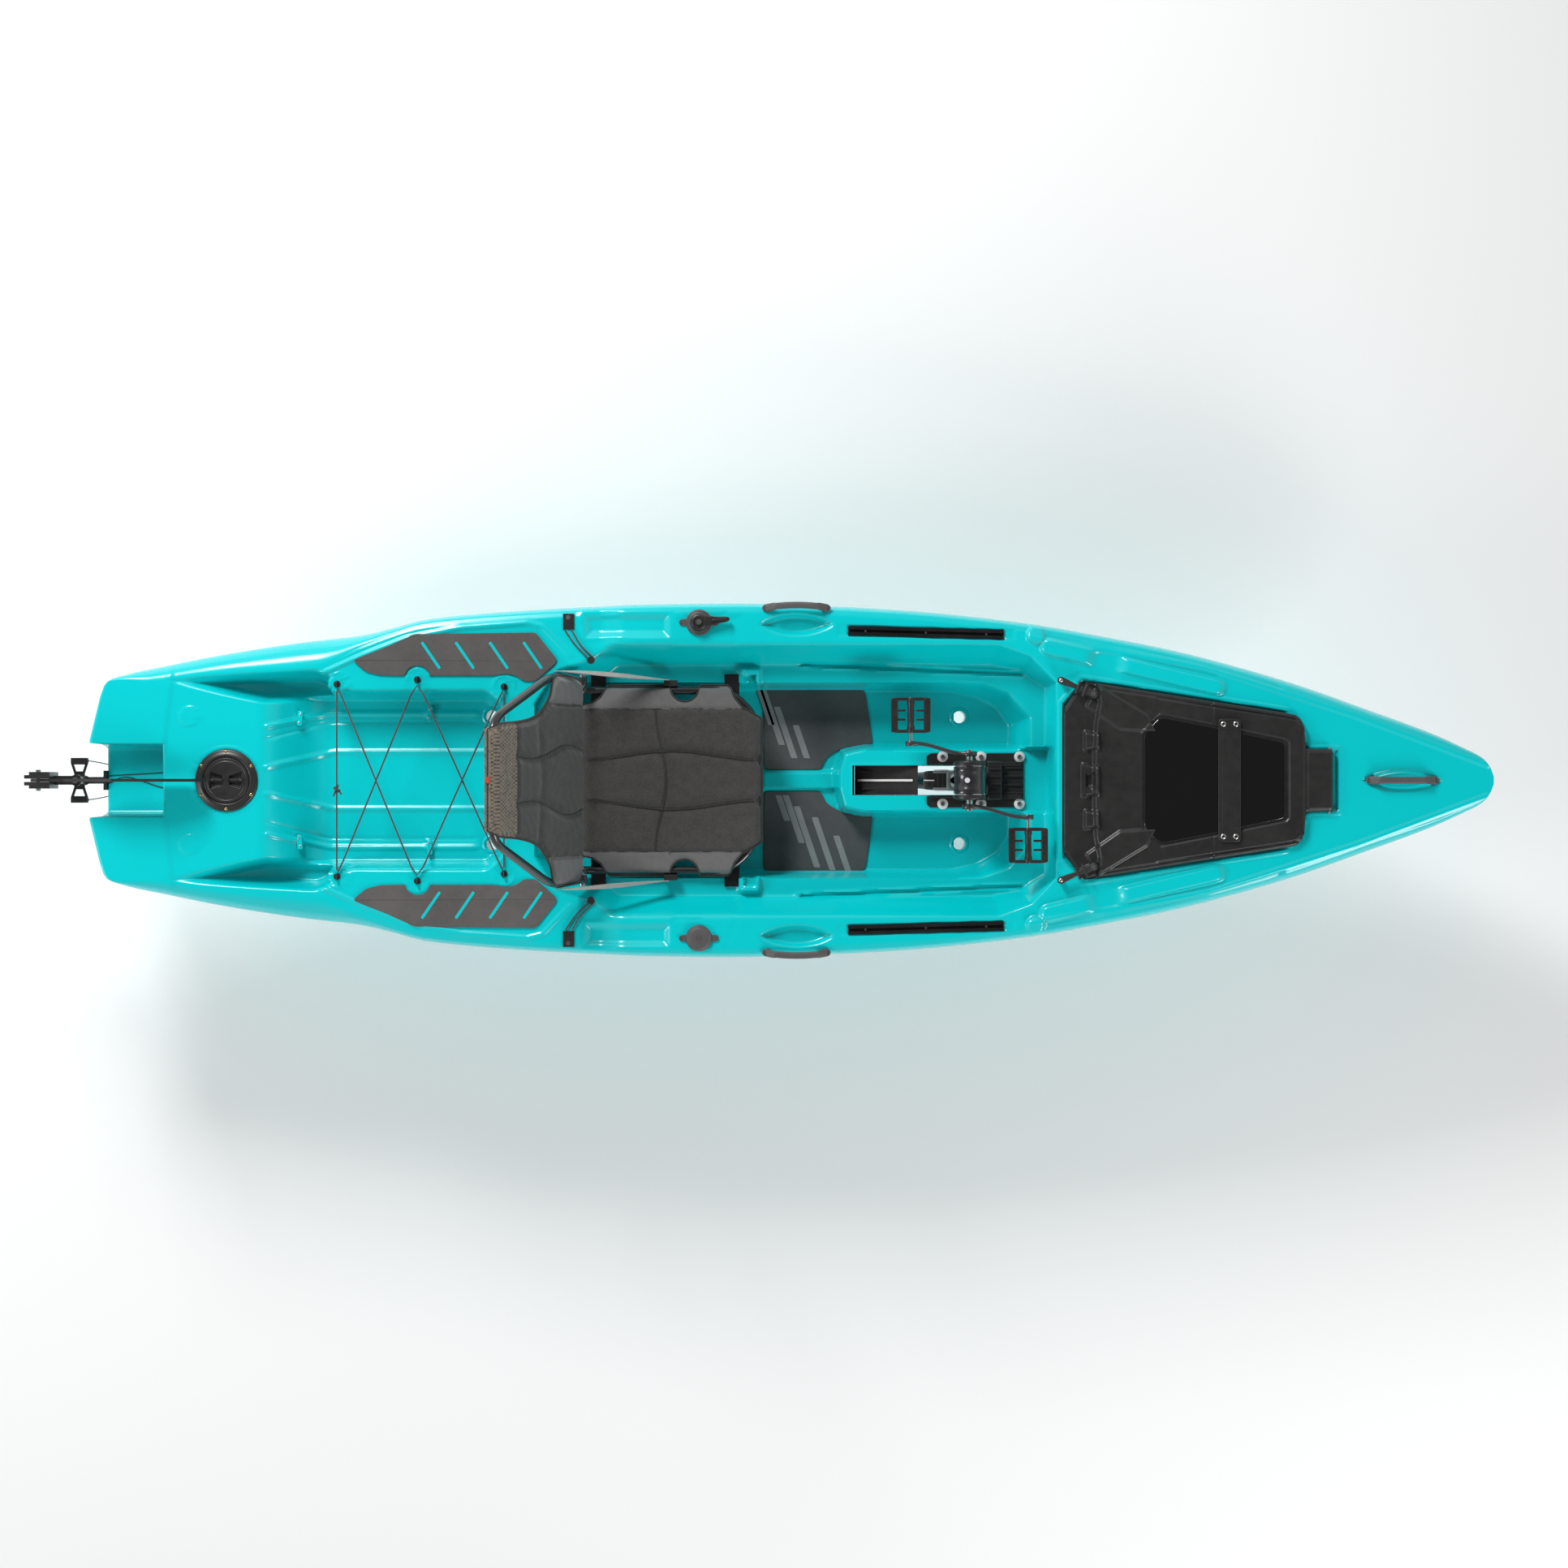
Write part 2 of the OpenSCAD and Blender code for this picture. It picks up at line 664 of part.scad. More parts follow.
module cover_disc() {
    difference() {
        union() {
            cylinder(r = knob_r, h = knob_h - 4, $fn = 72);
            cylinder(r = knob_r - 6, h = knob_h, $fn = 72);
            for (s = [-1, 1]) translate([s * (knob_r + 11), 0, 0]) cylinder(r = 8, h = 4);
            block([-knob_r - 11, -8, 0], [knob_r + 11, 8, 4]);
        }
        for (s = [-1, 1]) translate([s * (knob_r + 13), 0, -1]) cylinder(r = 2.2, h = 8);
    }
}

module steering_base() {
    color("dimgray") translate([knob_x, knob_y, deck_h + 0.1]) difference() {
        cover_disc();
        translate([0, 0, -1]) cylinder(r = bolt_r, h = knob_h + 2);
    }
}

module blank_cover() {
    color("dimgray") translate([knob_x, -knob_y, deck_h + 0.1]) cover_disc();
}

module steering_bolt() {
    color("silver") translate([knob_x, knob_y, deck_h + 0.1]) {
        cylinder(r = bolt_r, h = knob_h + 17);
        translate([0, 0, knob_h + 16.6]) cylinder(r = 8, h = 4, $fn = 6);
    }
}

module steering_lever() {
    color("black") translate([knob_x, knob_y, deck_h + 0.1 + knob_h + seat_gap]) difference() {
        union() {
            cylinder(r1 = 24, r2 = 20, h = 16);
            rotate([0, 0, 6]) block([0, -9, 2], [lever_len, 9, 13]);
            rotate([0, 0, 6]) translate([lever_len, 0, 2]) cylinder(r = 11, h = 17);
        }
        translate([0, 0, -1]) cylinder(r = bolt_r + run_gap, h = 20);
    }
}

// Every screw that fastens a deck fitting, each standing in its hole
module deck_screw(z, r = 4.5) {
    translate([0, 0, z]) cylinder(r = 2, h = 3);
    translate([0, 0, z + 3]) cylinder(r = r, h = 1.6);
}

module deck_screws() {
    color("silver") {
        for (i = [0:5]) translate([ring_x, 0, aft_h + ring_h - 3]) rotate([0, 0, 60 * i])
            translate([(screw_circle_r + lid_r) / 2 + 4, 0, 0]) deck_screw(0, 3.6);
        on_both_sides() {
            for (s = [-1, 1]) translate([knob_x + s * (knob_r + 13), knob_y, deck_h + 0.1])
                deck_screw(1);
            for (s = [-1, 1]) translate([grip_x + s * (grip_len / 2 - 13), grip_y, deck_h])
                deck_screw(grip_t - 4.7);
            translate([track_x, track_y, track_z]) rotate([0, 0, -track_turn])
                for (x = [-160, 0, 160]) translate([x, 0, 0]) deck_screw(0, 3.2);
            translate([keeper_x, half_beam(keeper_x) - keeper_in + 6, aft_h + 0.1]) deck_screw(0, 6);
        }
        translate([bow_grip_x, 0, deck_z(bow_grip_x)]) rotate([0, -atan(slope), 0])
            for (s = [-1, 1]) translate([s * (bow_grip_len / 2 - 13), 0, 0]) deck_screw(grip_t - 4.7);
    }
}

// ---- Rudder ----
rudder_x = stern_x - 37;
yoke_z = 244;
yoke_t = 6;
blade_x = rudder_x - 90;
blade_z = 342;
blade_bolt_r = 4;
lug_t = 8;

module rudder_bracket() {
    color("black") difference() {
        union() {
            block([notch_edge_x - 8, -26, 165], [notch_edge_x, 26, yoke_z - seat_gap]);
            for (z = [172, yoke_z - seat_gap - lug_t]) {
                block([rudder_x, -9, z], [notch_edge_x - 8, 9, z + lug_t]);
                translate([rudder_x, 0, z]) cylinder(r = 13, h = lug_t);
            }
        }
        translate([rudder_x, 0, 160]) cylinder(r = pin_r, h = 100);
    }
}

module rudder_pin() {
    color("silver") {
        translate([rudder_x, 0, 168]) cylinder(r = pin_r, h = 132);
        translate([rudder_x, 0, 300]) cylinder(r = 8, h = 4);
    }
}

function yoke_half() = let (w = yoke_w / 2) [[-23, -w], [23, -w], [23, -w + 14], [14, -18], [14, 18],
    [23, w - 14], [23, w], [-23, w], [-23, w - 14], [-14, 18], [-14, -18], [-23, -w + 14]];

module rudder_yoke() {
    color("black") translate([rudder_x, 0, yoke_z]) difference() {
        union() {
            linear_extrude(height = yoke_t) polygon(yoke_half());
            cylinder(r = 17, h = yoke_t);
            on_both_sides() translate([17, yoke_w / 2 - 8, 0]) cylinder(r = 8, h = yoke_t + 6);
        }
        translate([0, 0, -1]) cylinder(r = pin_r + run_gap, h = yoke_t + 2);
        on_both_sides() translate([0, 0, -1]) linear_extrude(height = yoke_t + 2)
            polygon([[-9, 24], [9, 24], [15, yoke_w / 2 - 18], [-15, yoke_w / 2 - 18]]);
    }
}

module rudder_head() {
    low = yoke_z + yoke_t + seat_gap;
    color("black") difference() {
        union() {
            translate([rudder_x, 0, low]) cylinder(r = 15, h = 46);
            block([blade_x + 18, -12, low], [rudder_x - 10, 12, low + 40]);
            block([blade_x - 20, -22, low], [blade_x + 34, 22, blade_z + 20]);
            block([blade_x - 50, -14, low + 20], [blade_x - 18, 14, low + 34]);
        }
        translate([rudder_x, 0, low - 1]) cylinder(r = pin_r + run_gap, h = 60);
        block([blade_x - 60, -blade_t / 2 - seat_gap, low - 1],
            [blade_x + 24, blade_t / 2 + seat_gap, tall]);
        block([blade_x, -blade_t / 2 - seat_gap, blade_z - 22],
            [blade_x + 60, blade_t / 2 + seat_gap, tall]);
        cross_cylinder(blade_x, 0, blade_z, blade_bolt_r, 60);
    }
}

module rudder_bolt() {
    color("silver") {
        cross_cylinder(blade_x, 0, blade_z, blade_bolt_r, 44);
        on_both_sides() cross_cylinder(blade_x, 25, blade_z, 7, 6);
    }
}

module rudder_blade() {
    color("black") difference() {
        union() {
            translate([blade_x, blade_t / 2, blade_z]) rotate([90, 0, 0])
                linear_extrude(height = blade_t) polygon([[0, -14], [blade_len - 60, -14],
                    [blade_len - 18, -2], [blade_len, 24], [blade_len - 22, 62],
                    [blade_len - 110, 92], [210, 88], [135, 60], [70, 20], [0, 14]]);
            cross_cylinder(blade_x, 0, blade_z, 20, blade_t);
        }
        cross_cylinder(blade_x, 0, blade_z, blade_bolt_r + run_gap, 60);
    }
}

// Steering wires from the yoke's ends to the stern, and the two lines that raise and lower the blade
line_r = 1.3;
STRAIGHT_LINE = [[34, 12], [110, 16], [199, 21]];
SLACK_LINE = [[34, -6], [50, -3], [62, 4], [80, 8], [100, 6], [130, -3], [165, -15], [199, -24]];

module steering_lines() {
    z = yoke_z + yoke_t / 2;
    color("silver") on_both_sides()
        tube([[rudder_x + 26, yoke_w / 2 - 8, z + 6], [rudder_x + 50, yoke_w / 2 - 12, z - 3],
            [notch_edge_x - 1, yoke_w / 2 - 17, notch_h - 10]], line_r);
}

module rudder_lines() {
    color("silver") for (route = [STRAIGHT_LINE, SLACK_LINE])
        tube([for (p = route) [stern_x + p[0], p[1], notch_h + line_r + 0.2]], line_r);
}

// ---- Pedal drive ----
crank_x = 480;
plate_x = 372;
plate_len = 262;
plate_w = 148;
plate_t = 7;
plate_top = console_h + 0.2 + plate_t;
cheek_y = 38;
cheek_t = 11;
drum_r = 43;
drum_w = 2 * cheek_y - 1;
leg_axis_z = -prop_drop;
arm_y = 70;
arm_t = 13;
arm_out = 27;
pedal_y = 124;
axle_r = 5;

module drive_plate() {
    color("black") difference() {
        block([plate_x, -plate_w / 2, console_h + 0.2], [plate_x + plate_len, plate_w / 2, plate_top]);
        block([plate_x - 1, -slot_w / 2, 0], [slot_end_x, slot_w / 2, tall]);
        plate_bolts(3.1);
    }
}

module plate_bolts(r) {
    for (i = [0:2], side = [-1, 1]) translate([plate_x + 44 + 103 * i, side * 63, console_h - 5])
        cylinder(r = r, h = plate_t + 12);
}

module drive_bolts() {
    color("silver") for (i = [0:2], side = [-1, 1])
        translate([plate_x + 44 + 103 * i, side * 63, console_h + 0.2]) {
            cylinder(r = 3, h = plate_t);
            translate([0, 0, plate_t]) cylinder(r = 9, h = 1.5);
            translate([0, 0, plate_t + 1.5]) cylinder(r = 5.5, h = 4, $fn = 6);
        }
}

// Two cheeks on the plate that carry the spindle on each side of the leg
module drive_head() {
    color("black") difference() {
        union() {
            on_both_sides() {
                block([crank_x - 30, cheek_y, plate_top], [crank_x + 34, cheek_y + cheek_t, crank_h]);
                cross_cylinder(crank_x, cheek_y + cheek_t / 2, crank_h, drum_r, cheek_t);
                block([crank_x - 30, cheek_y, plate_top], [crank_x + 70, 53, plate_top + 12]);
            }
            block([slot_end_x + 2, -52, plate_top], [slot_end_x + 42, 52, plate_top + 30]);
        }
        cross_cylinder(crank_x, 0, crank_h, spindle_r + run_gap, 200);
    }
}

gear_r = 30;
function blade_foil(c, t) = [for (k = [0:11]) let (a = 30 * k)
    [c / 2 * cos(a) - 0.06 * c * (1 + cos(2 * a)), t / 2 * sin(a) * (1 + 0.35 * cos(a))]];

module drive_leg() {
    color("darkgray") difference() {
        union() {
            cross_cylinder(crank_x, 0, crank_h, drum_r - 1, drum_w);
            translate([crank_x, 0, leg_axis_z]) linear_extrude(height = crank_h - leg_axis_z - 20)
                polygon(blade_foil(74, 44));
            translate([crank_x + 62, 0, leg_axis_z]) rotate([0, -90, 0]) rotate_extrude()
                polygon([[0, 0], [16, 8], [27, 28], [30, 60], [28, 120], [22, 185], [0, 185]]);
            translate([crank_x + 20, 0, leg_axis_z]) rotate([90, 0, 0])
                linear_extrude(height = 5, center = true)
                polygon([[-70, -15], [0, -15], [-40, -110], [-75, -110]]);
        }
        cross_cylinder(crank_x, 0, crank_h, spindle_r + run_gap, 200);
        cross_cylinder(crank_x, 0, crank_h, gear_r + 5, 50);
        translate([crank_x, 0, leg_axis_z + 10]) cylinder(r = 13, h = crank_h - leg_axis_z - 34);
        translate([crank_x + 20, 0, leg_axis_z]) rotate([0, -90, 0]) cylinder(r = 19, h = 60);
        translate([crank_x, 0, leg_axis_z]) rotate([0, -90, 0]) cylinder(r = 5 + run_gap, h = 200);
    }
}

// Hand grip on the leg's aft face that pulls it up out of the water
module leg_handle() {
    color("black") translate([0, 0, plate_top + 6]) difference() {
        union() {
            block([crank_x - 116, -26, 0], [crank_x - 46.2, 26, 24]);
            translate([crank_x - 96, 0, 0]) cylinder(r = 22, h = 28);
        }
        translate([0, 0, -1]) block([crank_x - 104, -18, 0], [crank_x - 64, 18, 15]);
    }
}

module crank_spindle() {
    reach = arm_y + arm_t / 2 + 4;
    color("silver") cross_cylinder(crank_x, 0, crank_h, spindle_r, 2 * reach);
}

// Ring gear on the spindle, whose face teeth turn the upright shaft
module crown_gear() {
    color("gold") difference() {
        union() {
            cross_cylinder(crank_x, -19, crank_h, gear_r, 6);
            for (i = [0:39]) translate([crank_x, -16, crank_h]) rotate([0, 9 * i, 0])
                block([19, 0, -0.9], [29, 2.2, 0.9]);
        }
        cross_cylinder(crank_x, 0, crank_h, spindle_r, 100);
    }
}

module drive_shaft() {
    top = crank_h - gear_r + 10;
    color("silver") translate([crank_x, 0, 0]) {
        translate([0, 0, leg_axis_z + 13]) cylinder(r = 5, h = top - 10 - leg_axis_z - 13);
        translate([0, 0, top - 19]) cylinder(r = 10, h = 9);
        for (i = [0:9]) translate([0, 0, top - 19]) rotate([0, 0, 36 * i])
            block([9, -1, 0], [12, 1, 9]);
        translate([0, 0, leg_axis_z + 13]) cylinder(r = 11, h = 3);
    }
}

function prop_section(u) = let (c = 20 + 34 * sin(150 * u ^ 0.8), t = 8 - 5 * u, a = 62 - 40 * u)
    [for (k = [0:7]) let (p = [c / 2 * cos(45 * k), t / 2 * sin(45 * k)])
        [p[0] * cos(a) - p[1] * sin(a), p[0] * sin(a) + p[1] * cos(a), 8 + u * (prop_r - 8)]];

module propeller() {
    hub_x = crank_x - 126;
    color("dimgray") {
        translate([hub_x, 0, leg_axis_z]) rotate([0, -90, 0]) rotate_extrude()
            polygon([[0, 0], [20, 0], [20, 34], [14, 52], [0, 60]]);
        for (turn = [0, 180]) translate([hub_x - 17, 0, leg_axis_z]) rotate([turn, 0, 0])
            skin([for (i = [0:7]) prop_section(i / 7)]);
        translate([hub_x - 10, 0, leg_axis_z]) rotate([0, 90, 0]) cylinder(r = 5, h = 140);
        translate([crank_x - 22, 0, leg_axis_z]) rotate([0, 90, 0]) cylinder(r = 9, h = 10);
    }
}

// Crank arm from the spindle out to its pedal, pointing along +X before it is turned
module crank_arm() {
    color("dimgray") difference() {
        union() {
            cross_cylinder(0, arm_y, 0, 20, arm_t);
            cross_cylinder(crank_len, arm_y + arm_out, 0, 15, arm_t);
            arm_web();
        }
        cross_cylinder(0, arm_y, 0, spindle_r, 40);
        cross_cylinder(crank_len, arm_y + arm_out, 0, axle_r, 60);
    }
}

module arm_web() {
    translate([0, 0, -12]) linear_extrude(height = 24) polygon(concat(
        [for (i = [0:8]) arm_line(i / 8, -arm_t / 2)],
        [for (i = [8:-1:0]) arm_line(i / 8, arm_t / 2)]));
}
function arm_line(u, o) = [18 + u * (crank_len - 32), arm_y + arm_out * (1 - cos(180 * u)) / 2 + o];

module crank_port() {
    translate([crank_x, 0, crank_h]) mirror([1, 0, 0]) crank_arm();
}

module crank_starboard() {
    translate([crank_x, 0, crank_h]) mirror([0, 1, 0]) crank_arm();
}

axle_in = arm_y + arm_out - arm_t / 2;

module pedal_axles() {
    l = pedal_y + pedal_w - axle_in - 8;
    color("silver") for (side = [-1, 1])
        cross_cylinder(crank_x - side * crank_len, side * (axle_in + l / 2), crank_h, axle_r, l);
}

module pedal(side) {
    color("black") translate([crank_x - side * crank_len, side * (pedal_y + pedal_w / 2), crank_h])
        difference() {
            union() {
                for (s = [-1, 1]) block([s < 0 ? -pedal_len / 2 : pedal_len / 2 - 22, -pedal_w / 2, -8],
                    [s < 0 ? -pedal_len / 2 + 22 : pedal_len / 2, pedal_w / 2, 8]);
                block([-pedal_len / 2, -pedal_w / 2, -8], [pedal_len / 2, -pedal_w / 2 + 13, 8]);
                block([-pedal_len / 2, pedal_w / 2 - 13, -8], [pedal_len / 2, pedal_w / 2, 8]);
                cross_cylinder(0, 0, 0, 10, pedal_w);
            }
            cross_cylinder(0, 0, 0, axle_r + run_gap, pedal_w + 2);
        }
}

module pedal_port() {
    pedal(1);
}

module pedal_starboard() {
    pedal(-1);
}

// ---- Seat ----
seat_x = -553;
bar_t = 8;
frame_z = ledge_h + 0.1 + bar_t + seat_gap + tube_r;
frame_y = seat_w / 2 - tube_r;
hinge_bolt_r = 4;
hinge_line_x = seat_x + 8;
hinge_line_z = frame_z + 54;
ear_t = 10;
ear_r = 13;
back_y = seat_w / 2 + 12;
boss_w = 24;

module seat_crossbars() {
    color("black") for (x = [seat_x + 47, seat_x + 404])
        block([x - 20, -cockpit_w / 2 + 16, ledge_h + 0.1],
            [x + 20, cockpit_w / 2 - 16, ledge_h + 0.1 + bar_t]);
}

module seat_base_frame() {
    front = seat_x + seat_len - tube_r;
    cut = 70;
    color("black") difference() {
        union() {
            tube(rounded([[seat_x - 6, frame_y, frame_z], [front - cut, frame_y, frame_z],
                [front, frame_y - cut, frame_z], [front, cut - frame_y, frame_z],
                [front - cut, -frame_y, frame_z], [seat_x - 6, -frame_y, frame_z]], 30), tube_r, 16);
            bar([seat_x + cut, -frame_y, frame_z], [seat_x + cut, frame_y, frame_z], tube_r - 2);
            on_both_sides() hinge_ear();
        }
        for (side = [-1, 1])
            cross_cylinder(hinge_line_x, side * frame_y, hinge_line_z, hinge_bolt_r + snug, 60);
    }
}

// Upright ear at the aft end of a side tube, which lifts the hinge over the pad
module hinge_ear() {
    translate([0, frame_y + ear_t / 2, 0]) rotate([90, 0, 0]) linear_extrude(height = ear_t)
        polygon(concat([[seat_x - 3, frame_z], [seat_x + 44, frame_z]],
            [for (a = [0:30:180]) [hinge_line_x + ear_r * cos(a), hinge_line_z + ear_r * sin(a)]]));
}

module seat_hinge_bolts() {
    head = back_y + boss_w / 2 + seat_gap;
    color("silver") for (side = [-1, 1]) {
        cross_cylinder(hinge_line_x, side * (frame_y - 9 + head + 1) / 2, hinge_line_z, hinge_bolt_r,
            head + 10 - frame_y);
        cross_cylinder(hinge_line_x, side * (head + 2.5), hinge_line_z, 8, 5);
    }
}

module seat_base_fabric() {
    w = seat_w / 2 - 1;
    l = seat_x + seat_len;
    half = [[seat_x + 30, -w + 62], [seat_x + 84, -w], [seat_x + 275, -w], [seat_x + 285, -w + 24],
        [seat_x + 335, -w + 24], [seat_x + 345, -w], [l - 95, -w], [l - 2, -w + 95]];
    color("dimgray") slab(concat(half, mirror_y(half)), frame_z + tube_r + seat_gap,
        frame_z + tube_r + seat_gap + pad_t);
}

// Frame and panel of the back, drawn upright over the hinge line and leant aft
module leant() {
    translate([hinge_line_x, 0, hinge_line_z]) rotate([0, -back_lean, 0]) children();
}

module seat_back_frame() {
    shoulder = 0.34 * back_len;
    color("black") difference() {
        leant() {
            tube(rounded([[0, back_y, 0], [0, back_y + 12, shoulder], [0, 150, back_len],
                [0, -150, back_len], [0, -back_y - 12, shoulder], [0, -back_y, 0]], 40),
                tube_r, 16, up = [1, 0, 0]);
            on_both_sides() cross_cylinder(0, back_y, 0, 13, boss_w);
            bar([0, -back_y - 6, 0.6 * shoulder], [0, back_y + 6, 0.6 * shoulder], tube_r - 2);
        }
        for (side = [-1, 1])
            cross_cylinder(hinge_line_x, side * back_y, hinge_line_z, hinge_bolt_r + run_gap, 60);
    }
}

module seat_back_fabric() {
    l = back_len - 6;
    color("dimgray") leant() translate([tube_r + seat_gap + pad_t, 0, 0]) rotate([0, -90, 0])
        linear_extrude(height = pad_t) polygon([[40, -215], [90, -264], [150, -264], [235, -150],
            [l, -140], [l, 140], [235, 150], [150, 264], [90, 264], [40, 215]]);
}

// Webbing from the back's shoulders to the buckles on the base frame
STRAP_S = 145;
STRAP = [[hinge_line_x - STRAP_S * sin(back_lean), 285.6, hinge_line_z + STRAP_S * cos(back_lean)],
    [-450, 276, 340], [-330, 268, 262]];

module seat_straps() {
    out = seat_w / 2 - 251;
    color("gray") on_both_sides() skin([for (p = STRAP) let (q = p + [0, out, 0])
        [q + [0, -1, -12], q + [0, 1, -12], q + [0, 1, 12], q + [0, -1, 12]]]);
}

module seat_buckles() {
    out = seat_w / 2 - 251;
    color("black") on_both_sides() translate([-312, 251 + out, frame_z])
        block([-18, seat_gap, -10], [18, 15.7, 14]);
}

hull();
hatch_ring();
deck_screws();
hatch_gaskets();
bow_hinge_pin();
bow_handle();
side_handle_port();
side_handle_starboard();
side_pad_port();
side_pad_starboard();
foot_pad_port();
foot_pad_starboard();
gear_track_port();
gear_track_starboard();
bungee_eyes();
deck_bungee();
keeper_tabs();
keeper_cords();
steering_base();
steering_bolt();
blank_cover();
rudder_bracket();
rudder_pin();
steering_lines();
rudder_lines();
drive_plate();
drive_bolts();
drive_head();
seat_crossbars();
seat_base_frame();
seat_base_fabric();
seat_hinge_bolts();
seat_straps();
seat_buckles();
hatch_lid();
bow_cover();
bow_window();
bow_bridge();
bow_screws();
latch_pins();
latch_port();
latch_starboard();
steering_lever();
rudder_yoke();
rudder_head();
rudder_bolt();
rudder_blade();
seat_back_frame();
seat_back_fabric();
drive_leg();
leg_handle();
crank_spindle();
crown_gear();
crank_port();
crank_starboard();
pedal_axles();
pedal_port();
pedal_starboard();
drive_shaft();
propeller();
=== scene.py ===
"""Finished surfaces of a pedal fishing kayak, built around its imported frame."""

import logging
import math
from dataclasses import dataclass, field
from enum import Enum

import bpy
import numpy as np
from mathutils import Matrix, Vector


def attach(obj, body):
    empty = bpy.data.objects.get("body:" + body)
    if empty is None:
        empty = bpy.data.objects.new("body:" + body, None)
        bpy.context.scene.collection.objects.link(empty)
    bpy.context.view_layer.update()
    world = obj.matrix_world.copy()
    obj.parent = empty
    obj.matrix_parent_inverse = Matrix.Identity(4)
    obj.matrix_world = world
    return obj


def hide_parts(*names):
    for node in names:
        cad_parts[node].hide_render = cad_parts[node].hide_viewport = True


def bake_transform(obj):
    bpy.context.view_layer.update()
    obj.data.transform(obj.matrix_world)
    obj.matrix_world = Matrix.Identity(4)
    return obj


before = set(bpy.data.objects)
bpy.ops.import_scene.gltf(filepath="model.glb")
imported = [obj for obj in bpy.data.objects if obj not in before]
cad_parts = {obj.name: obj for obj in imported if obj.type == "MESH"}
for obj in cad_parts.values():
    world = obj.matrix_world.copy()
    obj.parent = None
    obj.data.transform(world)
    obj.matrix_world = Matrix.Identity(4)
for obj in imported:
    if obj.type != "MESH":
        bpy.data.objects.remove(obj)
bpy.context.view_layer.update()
LOG = logging.getLogger("kayak")
MM = 0.001
Array = np.ndarray


# ---- Curves and fields ----
def hermite(xq: Array, xs: list[float], ys: list[float]) -> Array:
    """Monotone cubic through points, so a table of sizes becomes a fair curve.

    Args:
        xq: Places at which the curve is wanted.
        xs: Rising places of the points.
        ys: Heights of the points.
    Returns:
        Heights: each span is a Hermite cubic with harmonic-mean slopes at its ends.
    """
    xs, ys = np.asarray(xs, float), np.asarray(ys, float)
    h, d = np.diff(xs), np.diff(ys) / np.diff(xs)
    same = d[:-1] * d[1:] > 0
    inner = np.where(same, 2 * d[:-1] * d[1:] / np.where(same, d[:-1] + d[1:], 1), 0)
    m = np.concatenate([[d[0]], inner, [d[-1]]])
    q = np.clip(xq, xs[0], xs[-1])
    i = np.clip(np.searchsorted(xs, q) - 1, 0, len(xs) - 2)
    t = (q - xs[i]) / h[i]
    return ((2 * t**3 - 3 * t**2 + 1) * ys[i] + (t**3 - 2 * t**2 + t) * h[i] * m[i]
            + (3 * t**2 - 2 * t**3) * ys[i + 1] + (t**3 - t**2) * h[i] * m[i + 1])


def ramp(t: Array, fillet: float = 0.3) -> Array:
    """Rise from 0 to 1 over t in 0..1, straight with a parabolic fillet at each end."""
    t = np.clip(t, 0, 1)
    low = t**2 / (2 * fillet * (1 - fillet))
    high = 1 - (1 - t) ** 2 / (2 * fillet * (1 - fillet))
    mid = (t - fillet / 2) / (1 - fillet)
    return np.where(t < fillet, low, np.where(t > 1 - fillet, high, mid))


def outline_distance(x: Array, y: Array, outline: list[tuple[float, float]]) -> Array:
    """Distance to a closed outline, negative inside.

    Args:
        x: Places along the boat.
        y: Places across it.
        outline: Corners in order.
    Returns:
        Least distance to any edge, signed by an even-odd count of crossings.
    """
    pts = np.asarray(outline, float)
    least, inside = np.full(np.shape(x), 1e9), np.zeros(np.shape(x), bool)
    for (ax, ay), (bx, by) in zip(pts, np.roll(pts, -1, 0)):
        ex, ey = bx - ax, by - ay
        t = np.clip(((x - ax) * ex + (y - ay) * ey) / (ex * ex + ey * ey), 0, 1)
        least = np.minimum(least, np.hypot(x - ax - t * ex, y - ay - t * ey))
        if ey:
            inside ^= ((ay > y) != (by > y)) & (x < ex * (y - ay) / ey + ax)
    return np.where(inside, -least, least)


def path_distance(x: Array, y: Array, path: list[tuple[float, float]]) -> Array:
    """Least distance from each place to an open path of straight runs."""
    least = np.full(np.shape(x), 1e9)
    for (ax, ay), (bx, by) in zip(path[:-1], path[1:]):
        ex, ey = bx - ax, by - ay
        t = np.clip(((x - ax) * ex + (y - ay) * ey) / (ex * ex + ey * ey), 0, 1)
        least = np.minimum(least, np.hypot(x - ax - t * ex, y - ay - t * ey))
    return least


def both_sides(path: list[tuple[float, float]]) -> list[list[tuple[float, float]]]:
    """The path and its mirror image across the centreline."""
    return [path, [(x, -y) for x, y in path]]


def mirrored(half: list[tuple[float, float]]) -> list[tuple[float, float]]:
    """A closed outline from its starboard half, whose y values are negative."""
    return half + [(x, -y) for x, y in reversed(half)]


def smooth_path(points: list, count: int, closed: bool = False) -> Array:
    """Catmull-Rom curve through points, evened out to count points by length."""
    p = np.asarray(points, float)
    ext = np.vstack([p[-1], p, p[0], p[1]]) if closed else np.vstack([2 * p[0] - p[1], p, 2 * p[-1] - p[-2]])
    spans = len(ext) - 3
    u = np.linspace(0, spans, spans * 16 + 1)
    i = np.minimum(u.astype(int), spans - 1)
    t = (u - i)[:, None]
    a, b, c, d = ext[i], ext[i + 1], ext[i + 2], ext[i + 3]
    curve = 0.5 * (2 * b + (c - a) * t + (2 * a - 5 * b + 4 * c - d) * t**2 + (3 * b - a - 3 * c + d) * t**3)
    run = np.concatenate([[0], np.cumsum(np.linalg.norm(np.diff(curve, axis=0), axis=1))])
    goal = np.linspace(0, run[-1], count + 1)[:-1] if closed else np.linspace(0, run[-1], count)
    return np.stack([np.interp(goal, run, curve[:, k]) for k in range(3)], 1)


